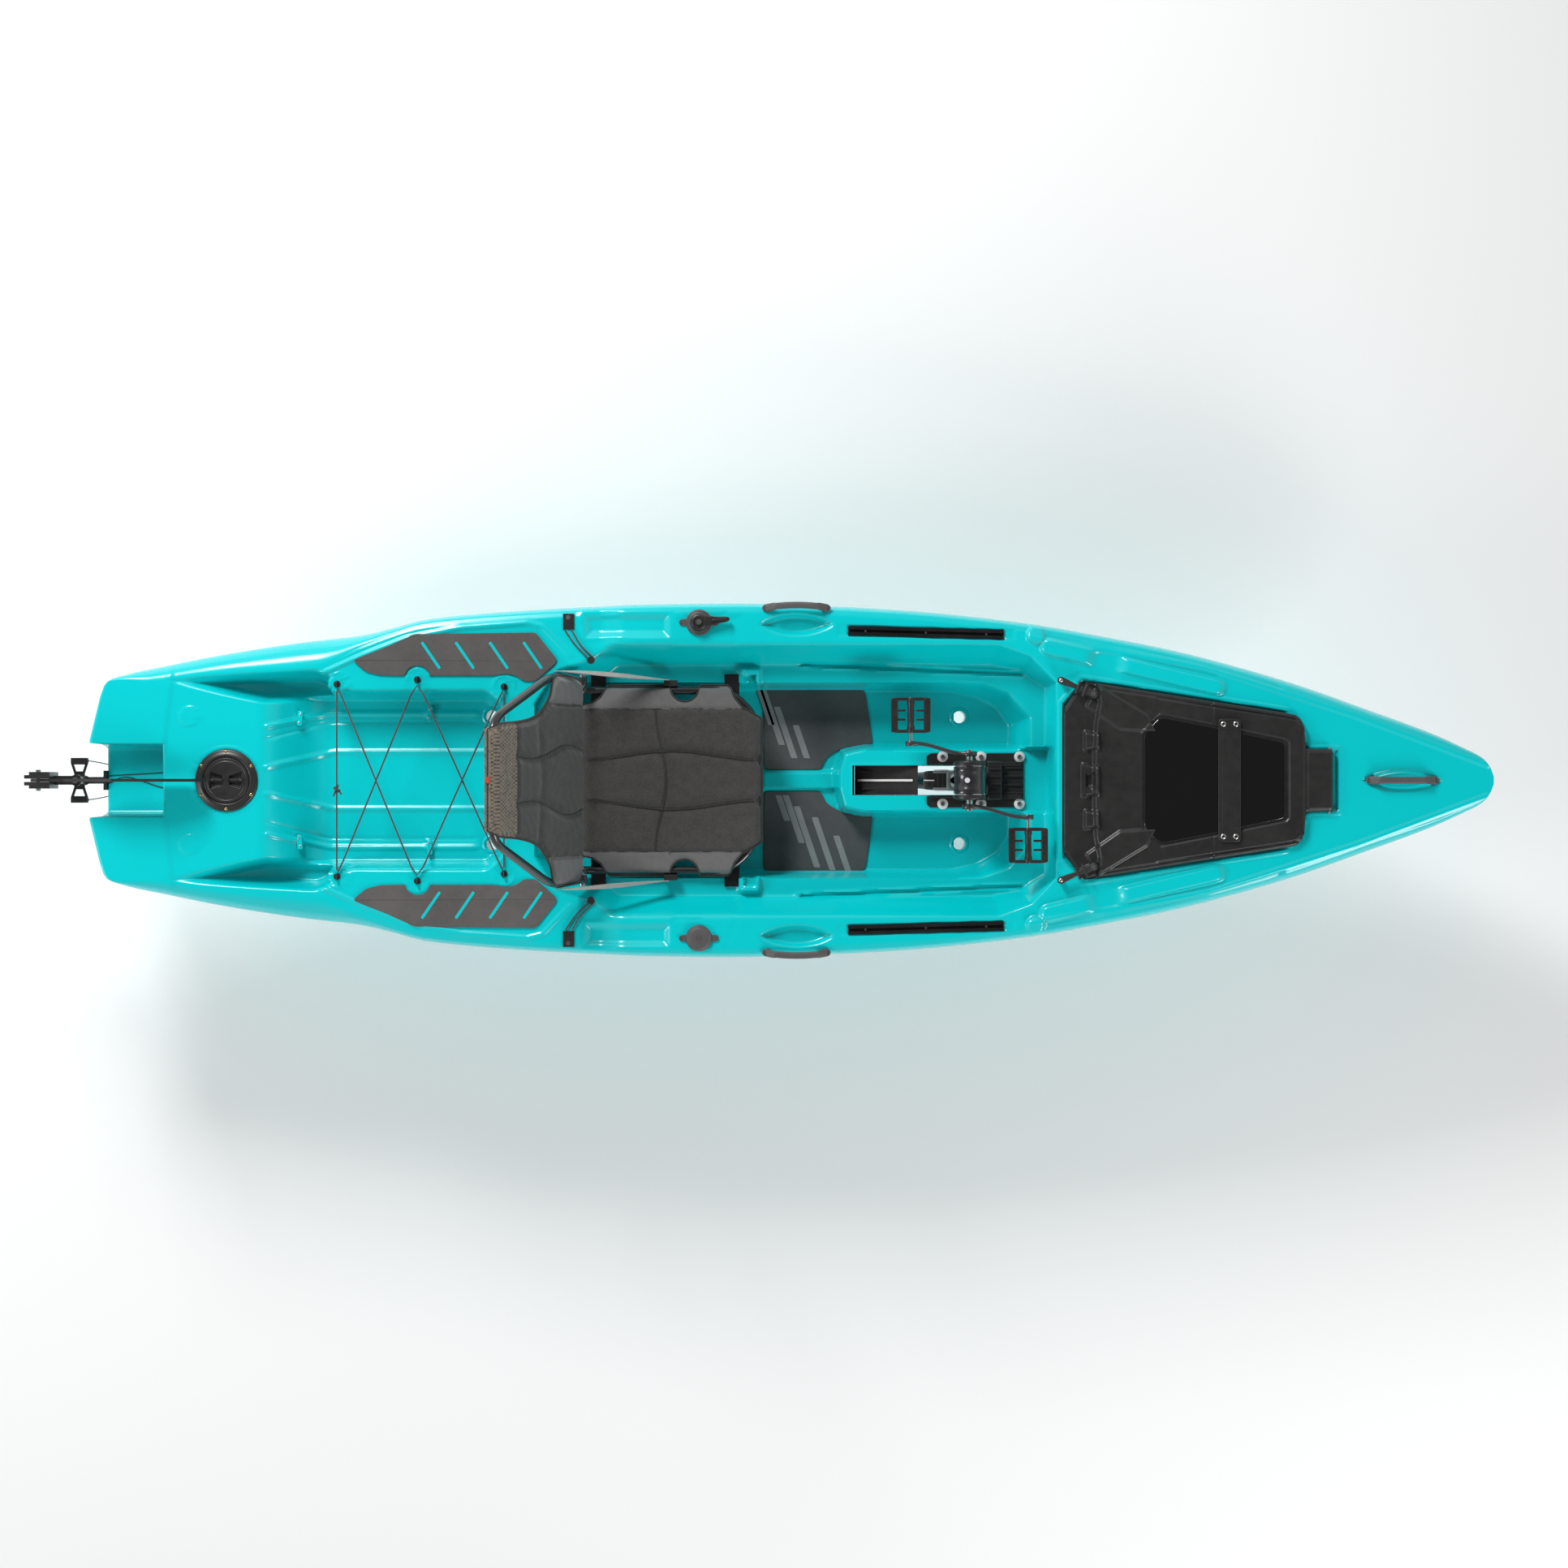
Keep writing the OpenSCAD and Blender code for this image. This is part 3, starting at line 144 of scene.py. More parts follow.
def rounded_outline(corners: list[tuple[float, float]], radius: float, steps: int = 5) -> Array:
    """Closed outline whose corners are cut to parabolic curves that start radius before them."""
    p = np.asarray(corners, float)
    before, after = np.roll(p, 1, 0) - p, np.roll(p, -1, 0) - p
    reach_b = np.minimum(radius, np.linalg.norm(before, axis=1) * 0.49)[:, None]
    reach_a = np.minimum(radius, np.linalg.norm(after, axis=1) * 0.49)[:, None]
    a = p + before / np.linalg.norm(before, axis=1)[:, None] * reach_b
    b = p + after / np.linalg.norm(after, axis=1)[:, None] * reach_a
    t = np.linspace(0, 1, steps + 1)[None, :, None]
    return (a[:, None] * (1 - t) ** 2 + p[:, None] * 2 * t * (1 - t) + b[:, None] * t**2).reshape(-1, 2)


def inset(outline: Array, depth: float) -> Array:
    """Outline moved inwards by depth along the mean normal of each corner's two edges."""
    e1, e2 = outline - np.roll(outline, 1, 0), np.roll(outline, -1, 0) - outline
    n = np.stack([-(e1 + e2)[:, 1], (e1 + e2)[:, 0]], 1)
    n /= np.maximum(np.linalg.norm(n, axis=1), 1e-9)[:, None]
    area = np.sum(outline[:, 0] * np.roll(outline[:, 1], -1) - np.roll(outline[:, 0], -1) * outline[:, 1])
    return outline + n * depth * (1 if area > 0 else -1)


# ---- Mesh building ----
class Shell:
    """Gathers grids, tubes, plates and lathe-turned shapes, in millimetres, into one mesh piece."""

    def __init__(self) -> None:
        """Starts empty."""
        self.points: list[Array] = []
        self.faces: list[list[int]] = []
        self.count = 0

    def add(self, points: Array, faces: list) -> None:
        """Adds points (n, 3) and faces that number them from 0."""
        self.points.append(np.asarray(points, float))
        self.faces += [[k + self.count for k in f] for f in faces]
        self.count += len(points)

    def grid(self, p: Array, wrap_u: bool = False, wrap_v: bool = False, flip: bool = False,
             keep: Array | None = None) -> "Shell":
        """Adds the quads of a grid of points.

        Args:
            p: Points (rows, columns, 3); the outward side has rows x columns as its normal.
            wrap_u: Joins the last row to the first.
            wrap_v: Joins the last column to the first.
            flip: Turns the faces over.
            keep: Which quads are made, as booleans (rows - 1, columns - 1), if not all.
        Returns:
            The shell.
        """
        nu, nv = p.shape[:2]
        i, j = np.meshgrid(np.arange(nu if wrap_u else nu - 1), np.arange(nv if wrap_v else nv - 1), indexing="ij")
        if keep is not None:
            i, j = i[keep], j[keep]
        i, j = i.ravel(), j.ravel()
        i2, j2 = (i + 1) % nu, (j + 1) % nv
        quads = np.stack([i * nv + j, i2 * nv + j, i2 * nv + j2, i * nv + j2], 1)
        if flip:
            quads = quads[:, ::-1]
        self.points.append(p.reshape(-1, 3).astype(float))
        self.faces += (quads + self.count).tolist()
        self.count += nu * nv
        return self

    def cap(self, ring: Array, flip: bool = False) -> None:
        """Closes a ring of points with one flat face."""
        order = list(range(len(ring)))
        self.add(ring, [order[::-1] if flip else order])

    def tube(self, path: Array, radius: float | Array, sides: int = 12, closed: bool = False,
             up: tuple = (0, 0, 1), flat: float = 1) -> "Shell":
        """Round or oval tube along a path that stays roughly square to up.

        Each ring is centred on a path point and spanned by the two directions square to the path.
        """
        p = np.asarray(path, float)
        d = (np.roll(p, -1, 0) - np.roll(p, 1, 0)) if closed else np.gradient(p, axis=0)
        d /= np.linalg.norm(d, axis=1)[:, None]
        u = np.cross(d, np.asarray(up, float))
        u /= np.linalg.norm(u, axis=1)[:, None]
        v = np.cross(u, d)
        a = np.linspace(0, 2 * np.pi, sides, endpoint=False)
        r = np.broadcast_to(np.asarray(radius, float), (len(p),))[:, None, None]
        rings = p[:, None] + r * (np.cos(a)[None, :, None] * u[:, None] + flat * np.sin(a)[None, :, None] * v[:,
                None])
        self.grid(rings, wrap_u=closed, wrap_v=True, flip=True)
        if not closed:
            self.cap(rings[0])
            self.cap(rings[-1], flip=True)
        return self

    def lathe(self, profile: list[tuple[float, float]], centre: tuple, axis: tuple = (0, 0, 1),
              sides: int = 48) -> "Shell":
        """Profile of (radius, height) pairs turned about an axis through centre, from its top down to its foot."""
        w = np.asarray(axis, float) / np.linalg.norm(axis)
        u = np.cross(w, (0, 1, 0) if abs(w[1]) < 0.9 else (1, 0, 0))
        u /= np.linalg.norm(u)
        v = np.cross(w, u)
        a = np.linspace(0, 2 * np.pi, sides, endpoint=False)
        pr = np.asarray(profile, float)
        around = np.cos(a)[:, None] * u + np.sin(a)[:, None] * v
        rings = np.asarray(centre, float) + pr[:, 0, None, None] * around[None] + pr[:, 1, None, None] * w
        self.grid(rings, wrap_v=True, flip=True)
        if pr[0, 0] > 1e-6:
            self.cap(rings[0])
        if pr[-1, 0] > 1e-6:
            self.cap(rings[-1], flip=True)
        return self

    def plate(self, outline: Array, low: float, high: float, bevel: float = 1, place=None) -> "Shell":
        """Flat plate with rounded rims: the outline is stacked with quarter-round insets at both faces."""
        o = np.asarray(outline, float)
        area = np.sum(o[:, 0] * np.roll(o[:, 1], -1) - np.roll(o[:, 0], -1) * o[:, 1])
        o = o if area > 0 else o[::-1]
        a = np.linspace(0, np.pi / 2, 4)
        levels = [(bevel * (1 - math.sin(t)), high - bevel * (1 - math.cos(t))) for t in a]
        levels += [(bevel * (1 - math.cos(t)), low + bevel * (1 - math.sin(t))) for t in a]
        levels = sorted(levels, key=lambda e: -e[1])
        rings = np.stack([np.column_stack([inset(o, g), np.full(len(o), z)]) for g, z in levels])
        rings = place(rings) if place else rings
        self.grid(rings, wrap_v=True, flip=True)
        self.cap(rings[0])
        self.cap(rings[-1], flip=True)
        return self

    def box(self, low: tuple, high: tuple, bevel: float = 1.5, place=None) -> "Shell":
        """Block with rounded upright edges and rims."""
        (x0, y0, z0), (x1, y1, z1) = low, high
        outline = rounded_outline([(x0, y0), (x1, y0), (x1, y1), (x0, y1)], bevel * 1.6, 3)
        return self.plate(outline, z0, z1, min(bevel, (z1 - z0) / 2.2), place)

    def build(self, name: str, finish: "Finish", body: str, replaces: tuple[str, ...] = (), slot: str = "",
              smooth: float = 40, levels: int = 0) -> bpy.types.Object:
        """Makes the piece, in metres, and ties it to its body.

        Args:
            name: Name of the piece.
            finish: Finish it gets.
            body: Body it rides on, or nothing to leave the piece unattached.
            replaces: CAD nodes it stands for.
            slot: Material slot of the record; not used.
            smooth: Angle in degrees past which an edge stays sharp.
            levels: Levels of subdivision.
        Returns:
            The object.
        """
        mesh = bpy.data.meshes.new(name)
        mesh.from_pydata((np.vstack(self.points) * MM).tolist(), [], self.faces)
        mesh.update()
        mesh.shade_smooth()
        mesh.set_sharp_from_angle(angle=math.radians(smooth))
        obj = bpy.data.objects.new(name, mesh)
        bpy.context.scene.collection.objects.link(obj)
        obj.data.materials.append(finish.material())
        if levels:
            m = obj.modifiers.new("rounding", "SUBSURF")
            m.levels = m.render_levels = levels
        if body:
            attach(obj, body)
        if replaces:
            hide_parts(*replaces)
        LOG.info("%s: %d points, %d faces", name, self.count, len(self.faces))
        return obj


# ---- Finishes ----
class Weave(Enum):
    """Surface patterns that a finish can carry."""

    MOULDED = "moulded"
    BRUSHED = "brushed"
    WOVEN = "woven"
    BRAID = "braid"


def new_group(name: str, inputs: list[tuple[str, str, float | tuple]], outputs: list[tuple[str, str]]):
    """Empty shader node group with the named sockets, and its input and output nodes."""
    group = bpy.data.node_groups.new(name, "ShaderNodeTree")
    for label, kind, value in inputs:
        s = group.interface.new_socket(name=label, in_out="INPUT", socket_type=kind)
        s.default_value = value
    for label, kind in outputs:
        group.interface.new_socket(name=label, in_out="OUTPUT", socket_type=kind)
    return group, group.nodes.new("NodeGroupInput"), group.nodes.new("NodeGroupOutput")


def node(tree, kind: str, links: dict | None = None, **values):
    """Adds a node, sets its properties, and links or sets its inputs by name or number."""
    n = tree.nodes.new(kind)
    for key, value in values.items():
        setattr(n, key, value)
    for key, value in (links or {}).items():
        socket = n.inputs[key]
        if isinstance(value, bpy.types.NodeSocket):
            tree.links.new(value, socket)
        else:
            socket.default_value = value
    return n


def math_node(tree, operation: str, a, b=0.0):
    """Output of a Math node on two values or sockets."""
    return node(tree, "ShaderNodeMath", {0: a, 1: b}, operation=operation).outputs[0]


FLOAT, COLOUR, VECTOR = "NodeSocketFloat", "NodeSocketColor", "NodeSocketVector"
_groups: dict[Weave, bpy.types.NodeTree] = {}


def surface_group(weave: Weave) -> bpy.types.NodeTree:
    """The shared group of one pattern: object coordinates in, colour, roughness and height out.

    Large soft noise varies the tone, fine noise makes the grain, and the pattern adds its own relief:
    stretched noise for brushing, two crossed waves for cloth, and a slanted wave for braid.
    """
    if weave in _groups:
        return _groups[weave]
    g, i, o = new_group(f"surface_{weave.value}",
                        [("Colour", COLOUR, (0.5, 0.5, 0.5, 1)), ("Second", COLOUR, (0.4, 0.4, 0.4, 1)),
                         ("Scale", FLOAT, 400), ("Rough", FLOAT, 0.5), ("Spread", FLOAT, 0.1),
                         ("Tone", FLOAT, 0.15)],
                        [("Colour", COLOUR), ("Rough", FLOAT), ("Height", FLOAT)])
    place = node(g, "ShaderNodeTexCoord").outputs["Object"]
    cloud = node(g, "ShaderNodeTexNoise", {"Vector": place, "Scale": 5.0, "Detail": 4.0, "Roughness": 0.6}).outputs[0]
    smear = node(g, "ShaderNodeTexNoise", {"Vector": place, "Scale": 38.0, "Detail": 5.0,
            "Roughness": 0.65}).outputs[0]
    stretch = {Weave.BRUSHED: (0.04, 1, 1)}.get(weave, (1, 1, 1))
    fine_place = node(g, "ShaderNodeMapping", {"Vector": place, "Scale": stretch}).outputs[0]
    fine = node(g, "ShaderNodeTexNoise", {"Vector": fine_place, "Scale": i.outputs["Scale"], "Detail": 3.0,
                                          "Roughness": 0.55}).outputs[0]
    height = fine
    mask = cloud
    if weave in (Weave.WOVEN, Weave.BRAID):
        split = node(g, "ShaderNodeSeparateXYZ", {"Vector": place})
        x, y, z = split.outputs
        turn = math_node(g, "MULTIPLY", i.outputs["Scale"], 6.2832)
        if weave is Weave.WOVEN:
            a = math_node(g, "SINE", math_node(g, "MULTIPLY", math_node(g, "ADD", x, z), turn))
            b = math_node(g, "SINE", math_node(g, "MULTIPLY", y, turn))
        else:
            a = math_node(g, "SINE", math_node(g, "MULTIPLY", math_node(g, "ADD", x, y), turn))
            b = math_node(g, "SINE", math_node(g, "MULTIPLY", math_node(g, "SUBTRACT", x, math_node(g, "ADD", y,
                    z)), turn))
        crossed = math_node(g, "MULTIPLY", a, b)
        height = math_node(g, "ADD", math_node(g, "MULTIPLY", crossed, 0.35),
                           math_node(g, "MULTIPLY", fine, 0.6))
        mask = math_node(g, "ADD", math_node(g, "MULTIPLY", crossed, 0.25), math_node(g, "MULTIPLY", fine, 0.8))
    mixed = math_node(g, "ADD", math_node(g, "MULTIPLY", mask, 0.7), math_node(g, "MULTIPLY", smear, 0.3))
    share = node(g, "ShaderNodeMapRange", {"Value": mixed, "From Min": 0.35, "From Max": 0.65, "To Min": 0.0,
                                           "To Max": i.outputs["Tone"]}).outputs[0]
    colour = node(g, "ShaderNodeMix", {0: share, 6: i.outputs["Colour"], 7: i.outputs["Second"]},
                  data_type="RGBA").outputs[2]
    lift = math_node(g, "MULTIPLY", math_node(g, "SUBTRACT", smear, 0.5), i.outputs["Spread"])
    rough = math_node(g, "ADD", i.outputs["Rough"], lift)
    for label, value in (("Colour", colour), ("Rough", rough), ("Height", height)):
        g.links.new(value, o.inputs[label])
    _groups[weave] = g
    return g


@dataclass(frozen=True)
class Finish:
    """One finish: its colours, gloss and pattern.

    Args:
        name: Name of the material.
        colour: Main colour, linear.
        slot: Material slot of the record; not used.
        second: Colour that the tone drifts to; a darker main colour if None.
        rough: Mean roughness.
        spread: How far the roughness varies.
        tone: Greatest share of the second colour.
        weave: Pattern.
        scale: Grains or threads to the metre.
        bump: Strength of the relief.
        depth: Height of the relief in metres.
        metal: 1 for bare metal.
        coat: Weight of a clear coat.
        sheen: Weight of a cloth's sheen.
        specular: Specular level.
    """

    name: str
    colour: tuple[float, float, float]
    slot: str
    second: tuple[float, float, float] | None = None
    rough: float = 0.5
    spread: float = 0.12
    tone: float = 0.5
    weave: Weave = Weave.MOULDED
    scale: float = 900
    bump: float = 0.2
    depth: float = 0.0002
    metal: float = 0
    coat: float = 0
    sheen: float = 0
    specular: float = 0.5

    def material(self) -> bpy.types.Material:
        """The material, made at first use and shared after that."""
        found = bpy.data.materials.get(self.name)
        if found:
            return found
        m = bpy.data.materials.new(self.name)
        m.use_nodes = True
        t = m.node_tree
        shader = t.nodes["Principled BSDF"]
        second = self.second or tuple(c * 0.72 for c in self.colour)
        g = node(t, "ShaderNodeGroup")
        g.node_tree = surface_group(self.weave)
        for label, value in (("Colour", (*self.colour, 1)), ("Second", (*second, 1)), ("Scale", self.scale),
                             ("Rough", self.rough), ("Spread", self.spread), ("Tone", self.tone)):
            g.inputs[label].default_value = value
        bump = node(t, "ShaderNodeBump", {"Height": g.outputs["Height"], "Strength": self.bump,
                                          "Distance": self.depth})
        t.links.new(g.outputs["Colour"], shader.inputs["Base Color"])
        t.links.new(g.outputs["Rough"], shader.inputs["Roughness"])
        t.links.new(bump.outputs[0], shader.inputs["Normal"])
        shader.inputs["Metallic"].default_value = self.metal
        shader.inputs["Coat Weight"].default_value = self.coat
        shader.inputs["Sheen Weight"].default_value = self.sheen
        shader.inputs["Specular IOR Level"].default_value = self.specular
        return m


TEAL = Finish("teal_polyethylene", (0.0, 0.585, 0.615), "hull_plastic", second=(0.0, 0.53, 0.575), rough=0.21,
              spread=0.06, tone=0.25, scale=420, bump=0.015, depth=0.0002, specular=0.5)
BLACK = Finish("black_moulding", (0.016, 0.016, 0.016), "black_plastic", second=(0.03, 0.029, 0.028), rough=0.36,
               spread=0.25, tone=0.7, scale=900, bump=0.25)
GREY = Finish("graphite_moulding", (0.075, 0.072, 0.074), "grey_plastic", second=(0.105, 0.10, 0.10), rough=0.5,
              spread=0.2, tone=0.6, scale=1100, bump=0.3)
FOAM = Finish("brushed_foam", (0.105, 0.098, 0.096), "foam", second=(0.07, 0.066, 0.065), rough=0.85, spread=0.1,
              tone=0.9, weave=Weave.BRUSHED, scale=700, bump=0.5, depth=0.0004)
STEEL = Finish("stainless_steel", (0.62, 0.61, 0.6), "steel", rough=0.28, spread=0.2, tone=0.5,
               weave=Weave.BRUSHED, scale=900, bump=0.1, metal=1)
CORD = Finish("braided_cord", (0.03, 0.03, 0.031), "cord", second=(0.12, 0.12, 0.12), rough=0.7, tone=0.9,
              weave=Weave.BRAID, scale=450, bump=0.6, depth=0.0005, sheen=0.2)
LINE = Finish("dark_line", (0.02, 0.021, 0.03), "cord", rough=0.6, weave=Weave.BRAID, scale=700, bump=0.4)
RUBBER = Finish("moulded_rubber", (0.018, 0.018, 0.019), "rubber", second=(0.035, 0.034, 0.034), rough=0.55,
                tone=0.6, scale=800, bump=0.3)
TUBE = Finish("black_powder_coat", (0.012, 0.012, 0.013), "black_tube", second=(0.03, 0.03, 0.03), rough=0.24,
              tone=0.4, scale=1500, bump=0.12, coat=0.4)
TRACK = Finish("anodised_track", (0.016, 0.016, 0.018), "track_aluminium", second=(0.05, 0.05, 0.055), rough=0.32,
               tone=0.6, weave=Weave.BRUSHED, scale=900, bump=0.15, metal=0.6)
LEG = Finish("grey_leg_paint", (0.20, 0.24, 0.24), "leg_paint", rough=0.3, tone=0.4, coat=0.3)
GLOSS = Finish("smoked_gloss_panel", (0.004, 0.004, 0.0045), "gloss_black", rough=0.09, spread=0.08, tone=0.3,
               scale=120, bump=0.02, coat=1, specular=0.6)
FOOT = Finish("footwell_foam", (0.085, 0.085, 0.088), "foam", second=(0.06, 0.06, 0.062), rough=0.8, tone=0.8,
              scale=1500, bump=0.45, depth=0.0004)
BAND = Finish("light_foam_bands", (0.27, 0.27, 0.275), "foam", second=(0.2, 0.2, 0.2), rough=0.8, tone=0.8,
        scale=1500,
              bump=0.4, depth=0.0004)
MESH = Finish("seat_mesh", (0.050, 0.047, 0.044), "seat_fabric", second=(0.012, 0.012, 0.012), rough=0.86, tone=1,
              weave=Weave.WOVEN, scale=260, bump=0.9, depth=0.0009, sheen=0.25)
WING = Finish("seat_wing_cloth", (0.13, 0.128, 0.127), "seat_fabric", second=(0.075, 0.074, 0.073), rough=0.8,
        tone=0.9,
              weave=Weave.WOVEN, scale=520, bump=0.5, depth=0.0004, sheen=0.3)
NET = Finish("seat_air_net", (0.20, 0.165, 0.125), "seat_fabric", second=(0.018, 0.016, 0.014), rough=0.85, tone=1,
             weave=Weave.WOVEN, scale=105, bump=1, depth=0.0015, sheen=0.2)
PIPING = Finish("black_binding", (0.010, 0.010, 0.010), "webbing", second=(0.03, 0.03, 0.03), rough=0.85, tone=0.8,
                weave=Weave.WOVEN, scale=500, bump=0.5, sheen=0.2)
TAG = Finish("woven_tag", (0.42, 0.05, 0.02), "webbing", rough=0.8, tone=0.8, weave=Weave.WOVEN, scale=700, bump=0.4)
WEBBING = Finish("grey_webbing", (0.36, 0.34, 0.32), "webbing", second=(0.18, 0.17, 0.165), rough=0.8, tone=0.9,
                 weave=Weave.WOVEN, scale=330, bump=0.7, depth=0.0006, sheen=0.3)
WHITE = Finish("white_nylon", (0.78, 0.78, 0.77), "steel", second=(0.6, 0.6, 0.6), rough=0.45, tone=0.5, bump=0.15)
CRANK = Finish("crank_coating", (0.035, 0.035, 0.037), "grey_plastic", second=(0.06, 0.06, 0.062), rough=0.3,
        tone=0.6,
               bump=0.15, coat=0.3)
LEGBLACK = Finish("leg_gloss_black", (0.016, 0.016, 0.018), "leg_paint", second=(0.035, 0.036, 0.04), rough=0.22,
                  tone=0.5, bump=0.1, coat=0.5)
BRONZE = Finish("gear_bronze", (0.55, 0.38, 0.16), "bronze", rough=0.3, weave=Weave.BRUSHED, metal=1)


# ---- Hull ----
@dataclass
class Hull:
    """Rotationally moulded hull: a deck with its wells, a bottom with strakes, and drain tubes.

    The sizes are in millimetres and follow the frame, with the middle of the boat at x = 0.
    """

    half_len: float = 1854
    beam: float = 946
    deck: float = 325
    aft_deck: float = 310
    bow: float = 400
    floor: float = 100
    ledge: float = 230
    well_floor: float = 190
    platform: float = 230
    rows: int = 520
    plan: list = field(default_factory=lambda: [
        (-1, 0.45), (-0.984, 0.52), (-0.96, 0.585), (-0.89, 0.65), (-0.8, 0.72), (-0.7, 0.78), (-0.615, 0.82),
        (-0.57, 0.86), (-0.52, 0.91), (-0.43, 0.947), (-0.29, 0.98), (-0.2, 0.994), (-0.08, 1), (0.08, 0.98),
        (0.175, 0.958), (0.265, 0.925), (0.36, 0.877), (0.45, 0.814), (0.545, 0.74), (0.635, 0.65), (0.73, 0.538),
        (0.82, 0.41), (0.915, 0.268), (0.96, 0.185), (0.985, 0.13), (0.996, 0.075), (1, 0.03)])
    keel: list = field(default_factory=lambda: [
        (-1, 150), (-0.96, 110), (-0.89, 80), (-0.8, 50), (-0.615, 18), (-0.4, 0), (0.4, 0), (0.635, 20),
        (0.73, 45), (0.82, 90), (0.915, 170), (0.96, 230), (0.985, 280), (1, 340)])
    edge: list = field(default_factory=lambda: [
        (-1854, 14), (-1780, 14), (-1690, 36), (-1500, 52), (-1256, 70), (-1122, 30), (-1011, 18), (600, 18),
        (1111, 23), (1500, 28), (1700, 20), (1800, 14), (1854, 7)])
    scuppers: tuple = ((-795, 172), (-795, -172), (466, 172), (466, -172))
    scupper_r: float = 16.5
    slot: tuple = (178, 532, 40)
    stern_run: float = 154
    tip_shift: float = 72
    latch_rest: tuple = (842, 312)

    def half_beam(self, x: Array) -> Array:
        """Half the beam at x, from the table of shares."""
        return self.beam / 2 * hermite(x / self.half_len, *zip(*self.plan))

    def keel_z(self, x: Array) -> Array:
        """Height of the keel at x."""
        return hermite(x / self.half_len, *zip(*self.keel))

    def deck_z(self, x: Array) -> Array:
        """Height of the deck's centreline at x."""
        return np.interp(x, [-495, -440, 600, self.half_len], [self.aft_deck, self.deck, self.deck, self.bow])

    def edge_w(self, x: Array) -> Array:
        """Width in plan of the rounded band between the deck and the greatest beam."""
        return np.minimum(hermite(x, *zip(*self.edge)), self.half_beam(x) * 0.4)

    def stern_shift(self, y: Array) -> Array:
        """How far the stern's edge stands forward of the two tips, against the distance from the centreline."""
        return np.interp(np.abs(y), [0, 95.5, 98.5, 106, 225, 250, 264, 277],
                         [34, 34, 2, 1, 30, 39, 50, self.tip_shift])

    def stations(self) -> Array:
        """Places of the rows: closer together where the deck turns sharply."""
        x = np.linspace(-self.half_len, self.half_len, 4001)
        dense = 1 + sum(k * np.exp(-((x - c) / s) ** 2) for c, s, k in (
            (-1835, 30, 2), (-1645, 25, 2), (-1400, 60, 0.6), (-745, 40, 1.2), (-640, 40, 1), (-525, 20, 1.5),
            (-325, 20, 1.5), (-75, 20, 1), (150, 20, 1.5), (640, 60, 1.2), (722, 25, 2), (1434, 25, 1.5),
            (1842, 25, 3)))
        total = np.concatenate([[0], np.cumsum((dense[1:] + dense[:-1]) / 2 * np.diff(x))])
        even = np.interp(np.linspace(0, total[-1], self.rows), total, x)
        exact = [self.slot[0] + 0.5, self.slot[0] + 1.5, self.slot[1] - 1.5, self.slot[1] - 0.5]
        for value in exact:
            even[np.argmin(np.abs(even - value))] = value
        return even

    def columns(self, x: Array) -> Array:
        """Places across the deck for each row, in three blocks that stretch towards the crest."""
        crest = self.crest(x)[:, None]
        a = 110 * np.minimum(1, crest / 200)
        b = np.where(crest > 400, 262, a + (crest - a) * 0.5)
        b = np.where((crest > 300) & (crest <= 400), np.minimum(262,
                a + (crest - a) * (0.5 + (crest - 300) / 100 * 0.024)), b)
        first = np.unique(np.concatenate([np.linspace(0, 110, 23), [39.5, 40.5, 95.5, 98.5]]))[None] / 110
        second = np.linspace(0, 1, 31)[None, 1:]
        third = np.linspace(0, 1, 37)[None, 1:]
        half = np.concatenate([a * first, a + (b - a) * second, b + (crest - b) * third], 1)
        return np.concatenate([-half[:, :0:-1], half], 1)

    def edge_x(self, x: Array) -> Array:
        """Place of the outermost point of a row, once the stern's edge is bent forward."""
        return x + self.tip_shift * np.clip(1 - (x + self.half_len) / self.stern_run, 0, 1)

    def crest(self, x: Array) -> Array:
        """Half the width of the deck, up to where it starts to round over."""
        e = self.edge_x(x)
        return self.half_beam(e) - self.edge_w(e)

    def bent(self, x: Array, y: Array) -> Array:
        """Row places bent forward near the stern, less with each row."""
        return x + self.stern_shift(y) * np.clip(1 - (x + self.half_len) / self.stern_run, 0, 1)

    def well_outline(self) -> list:
        """Rim of the tank well."""
        return mirrored([(-1560, -205), (-1330, -240), (-800, -240), (-745, -195)])

    def height(self, x: Array, y: Array) -> Array:
        """Height of the deck: its sheer, then every well, rib, boss and groove laid on in turn."""
        z = self.deck_z(x) - 10 * (np.abs(y) / 300) ** 2 * ramp((x - 1500) / 250)
        ay = np.abs(y)
        crest = self.half_beam(x) - self.edge_w(x)
        z -= 4 * ramp((ay - crest + 9) / 7) * ramp((x + 1250) / 200) * (x < 1300)
        # Raised stern lobes and the twist-lock bosses on the aft deck
        z += 4 * ramp((-1634 - x + 0.12 * (ay - 180)) / 16) * (ay > 60)
        for s in (-1, 1):
            z += 2.2 * ramp((29 - np.hypot(x + 1587, y - 170 * s)) / 3)
        z += 3.0 * ramp((93 - np.hypot(x + 1488, y)) / 4) - 3.0 * ramp((86 - np.hypot(x + 1488, y)) / 2)
        # Hollows that lead from the stern shoulders into the tank well
        for s in (-1, 1):
            ear = [(-1712, 270 * s), (-1500, 283 * s), (-1256, 297 * s), (-1170, 262 * s), (-1150, 215 * s),
                   (-1388, 202 * s), (-1450, 214 * s), (-1560, 238 * s)]
            bed = z - 118 * ramp((x + 1700) / 420, 0.45)
            z = z + (bed - z) * ramp(-outline_distance(x, y, ear) / 30, 0.35)
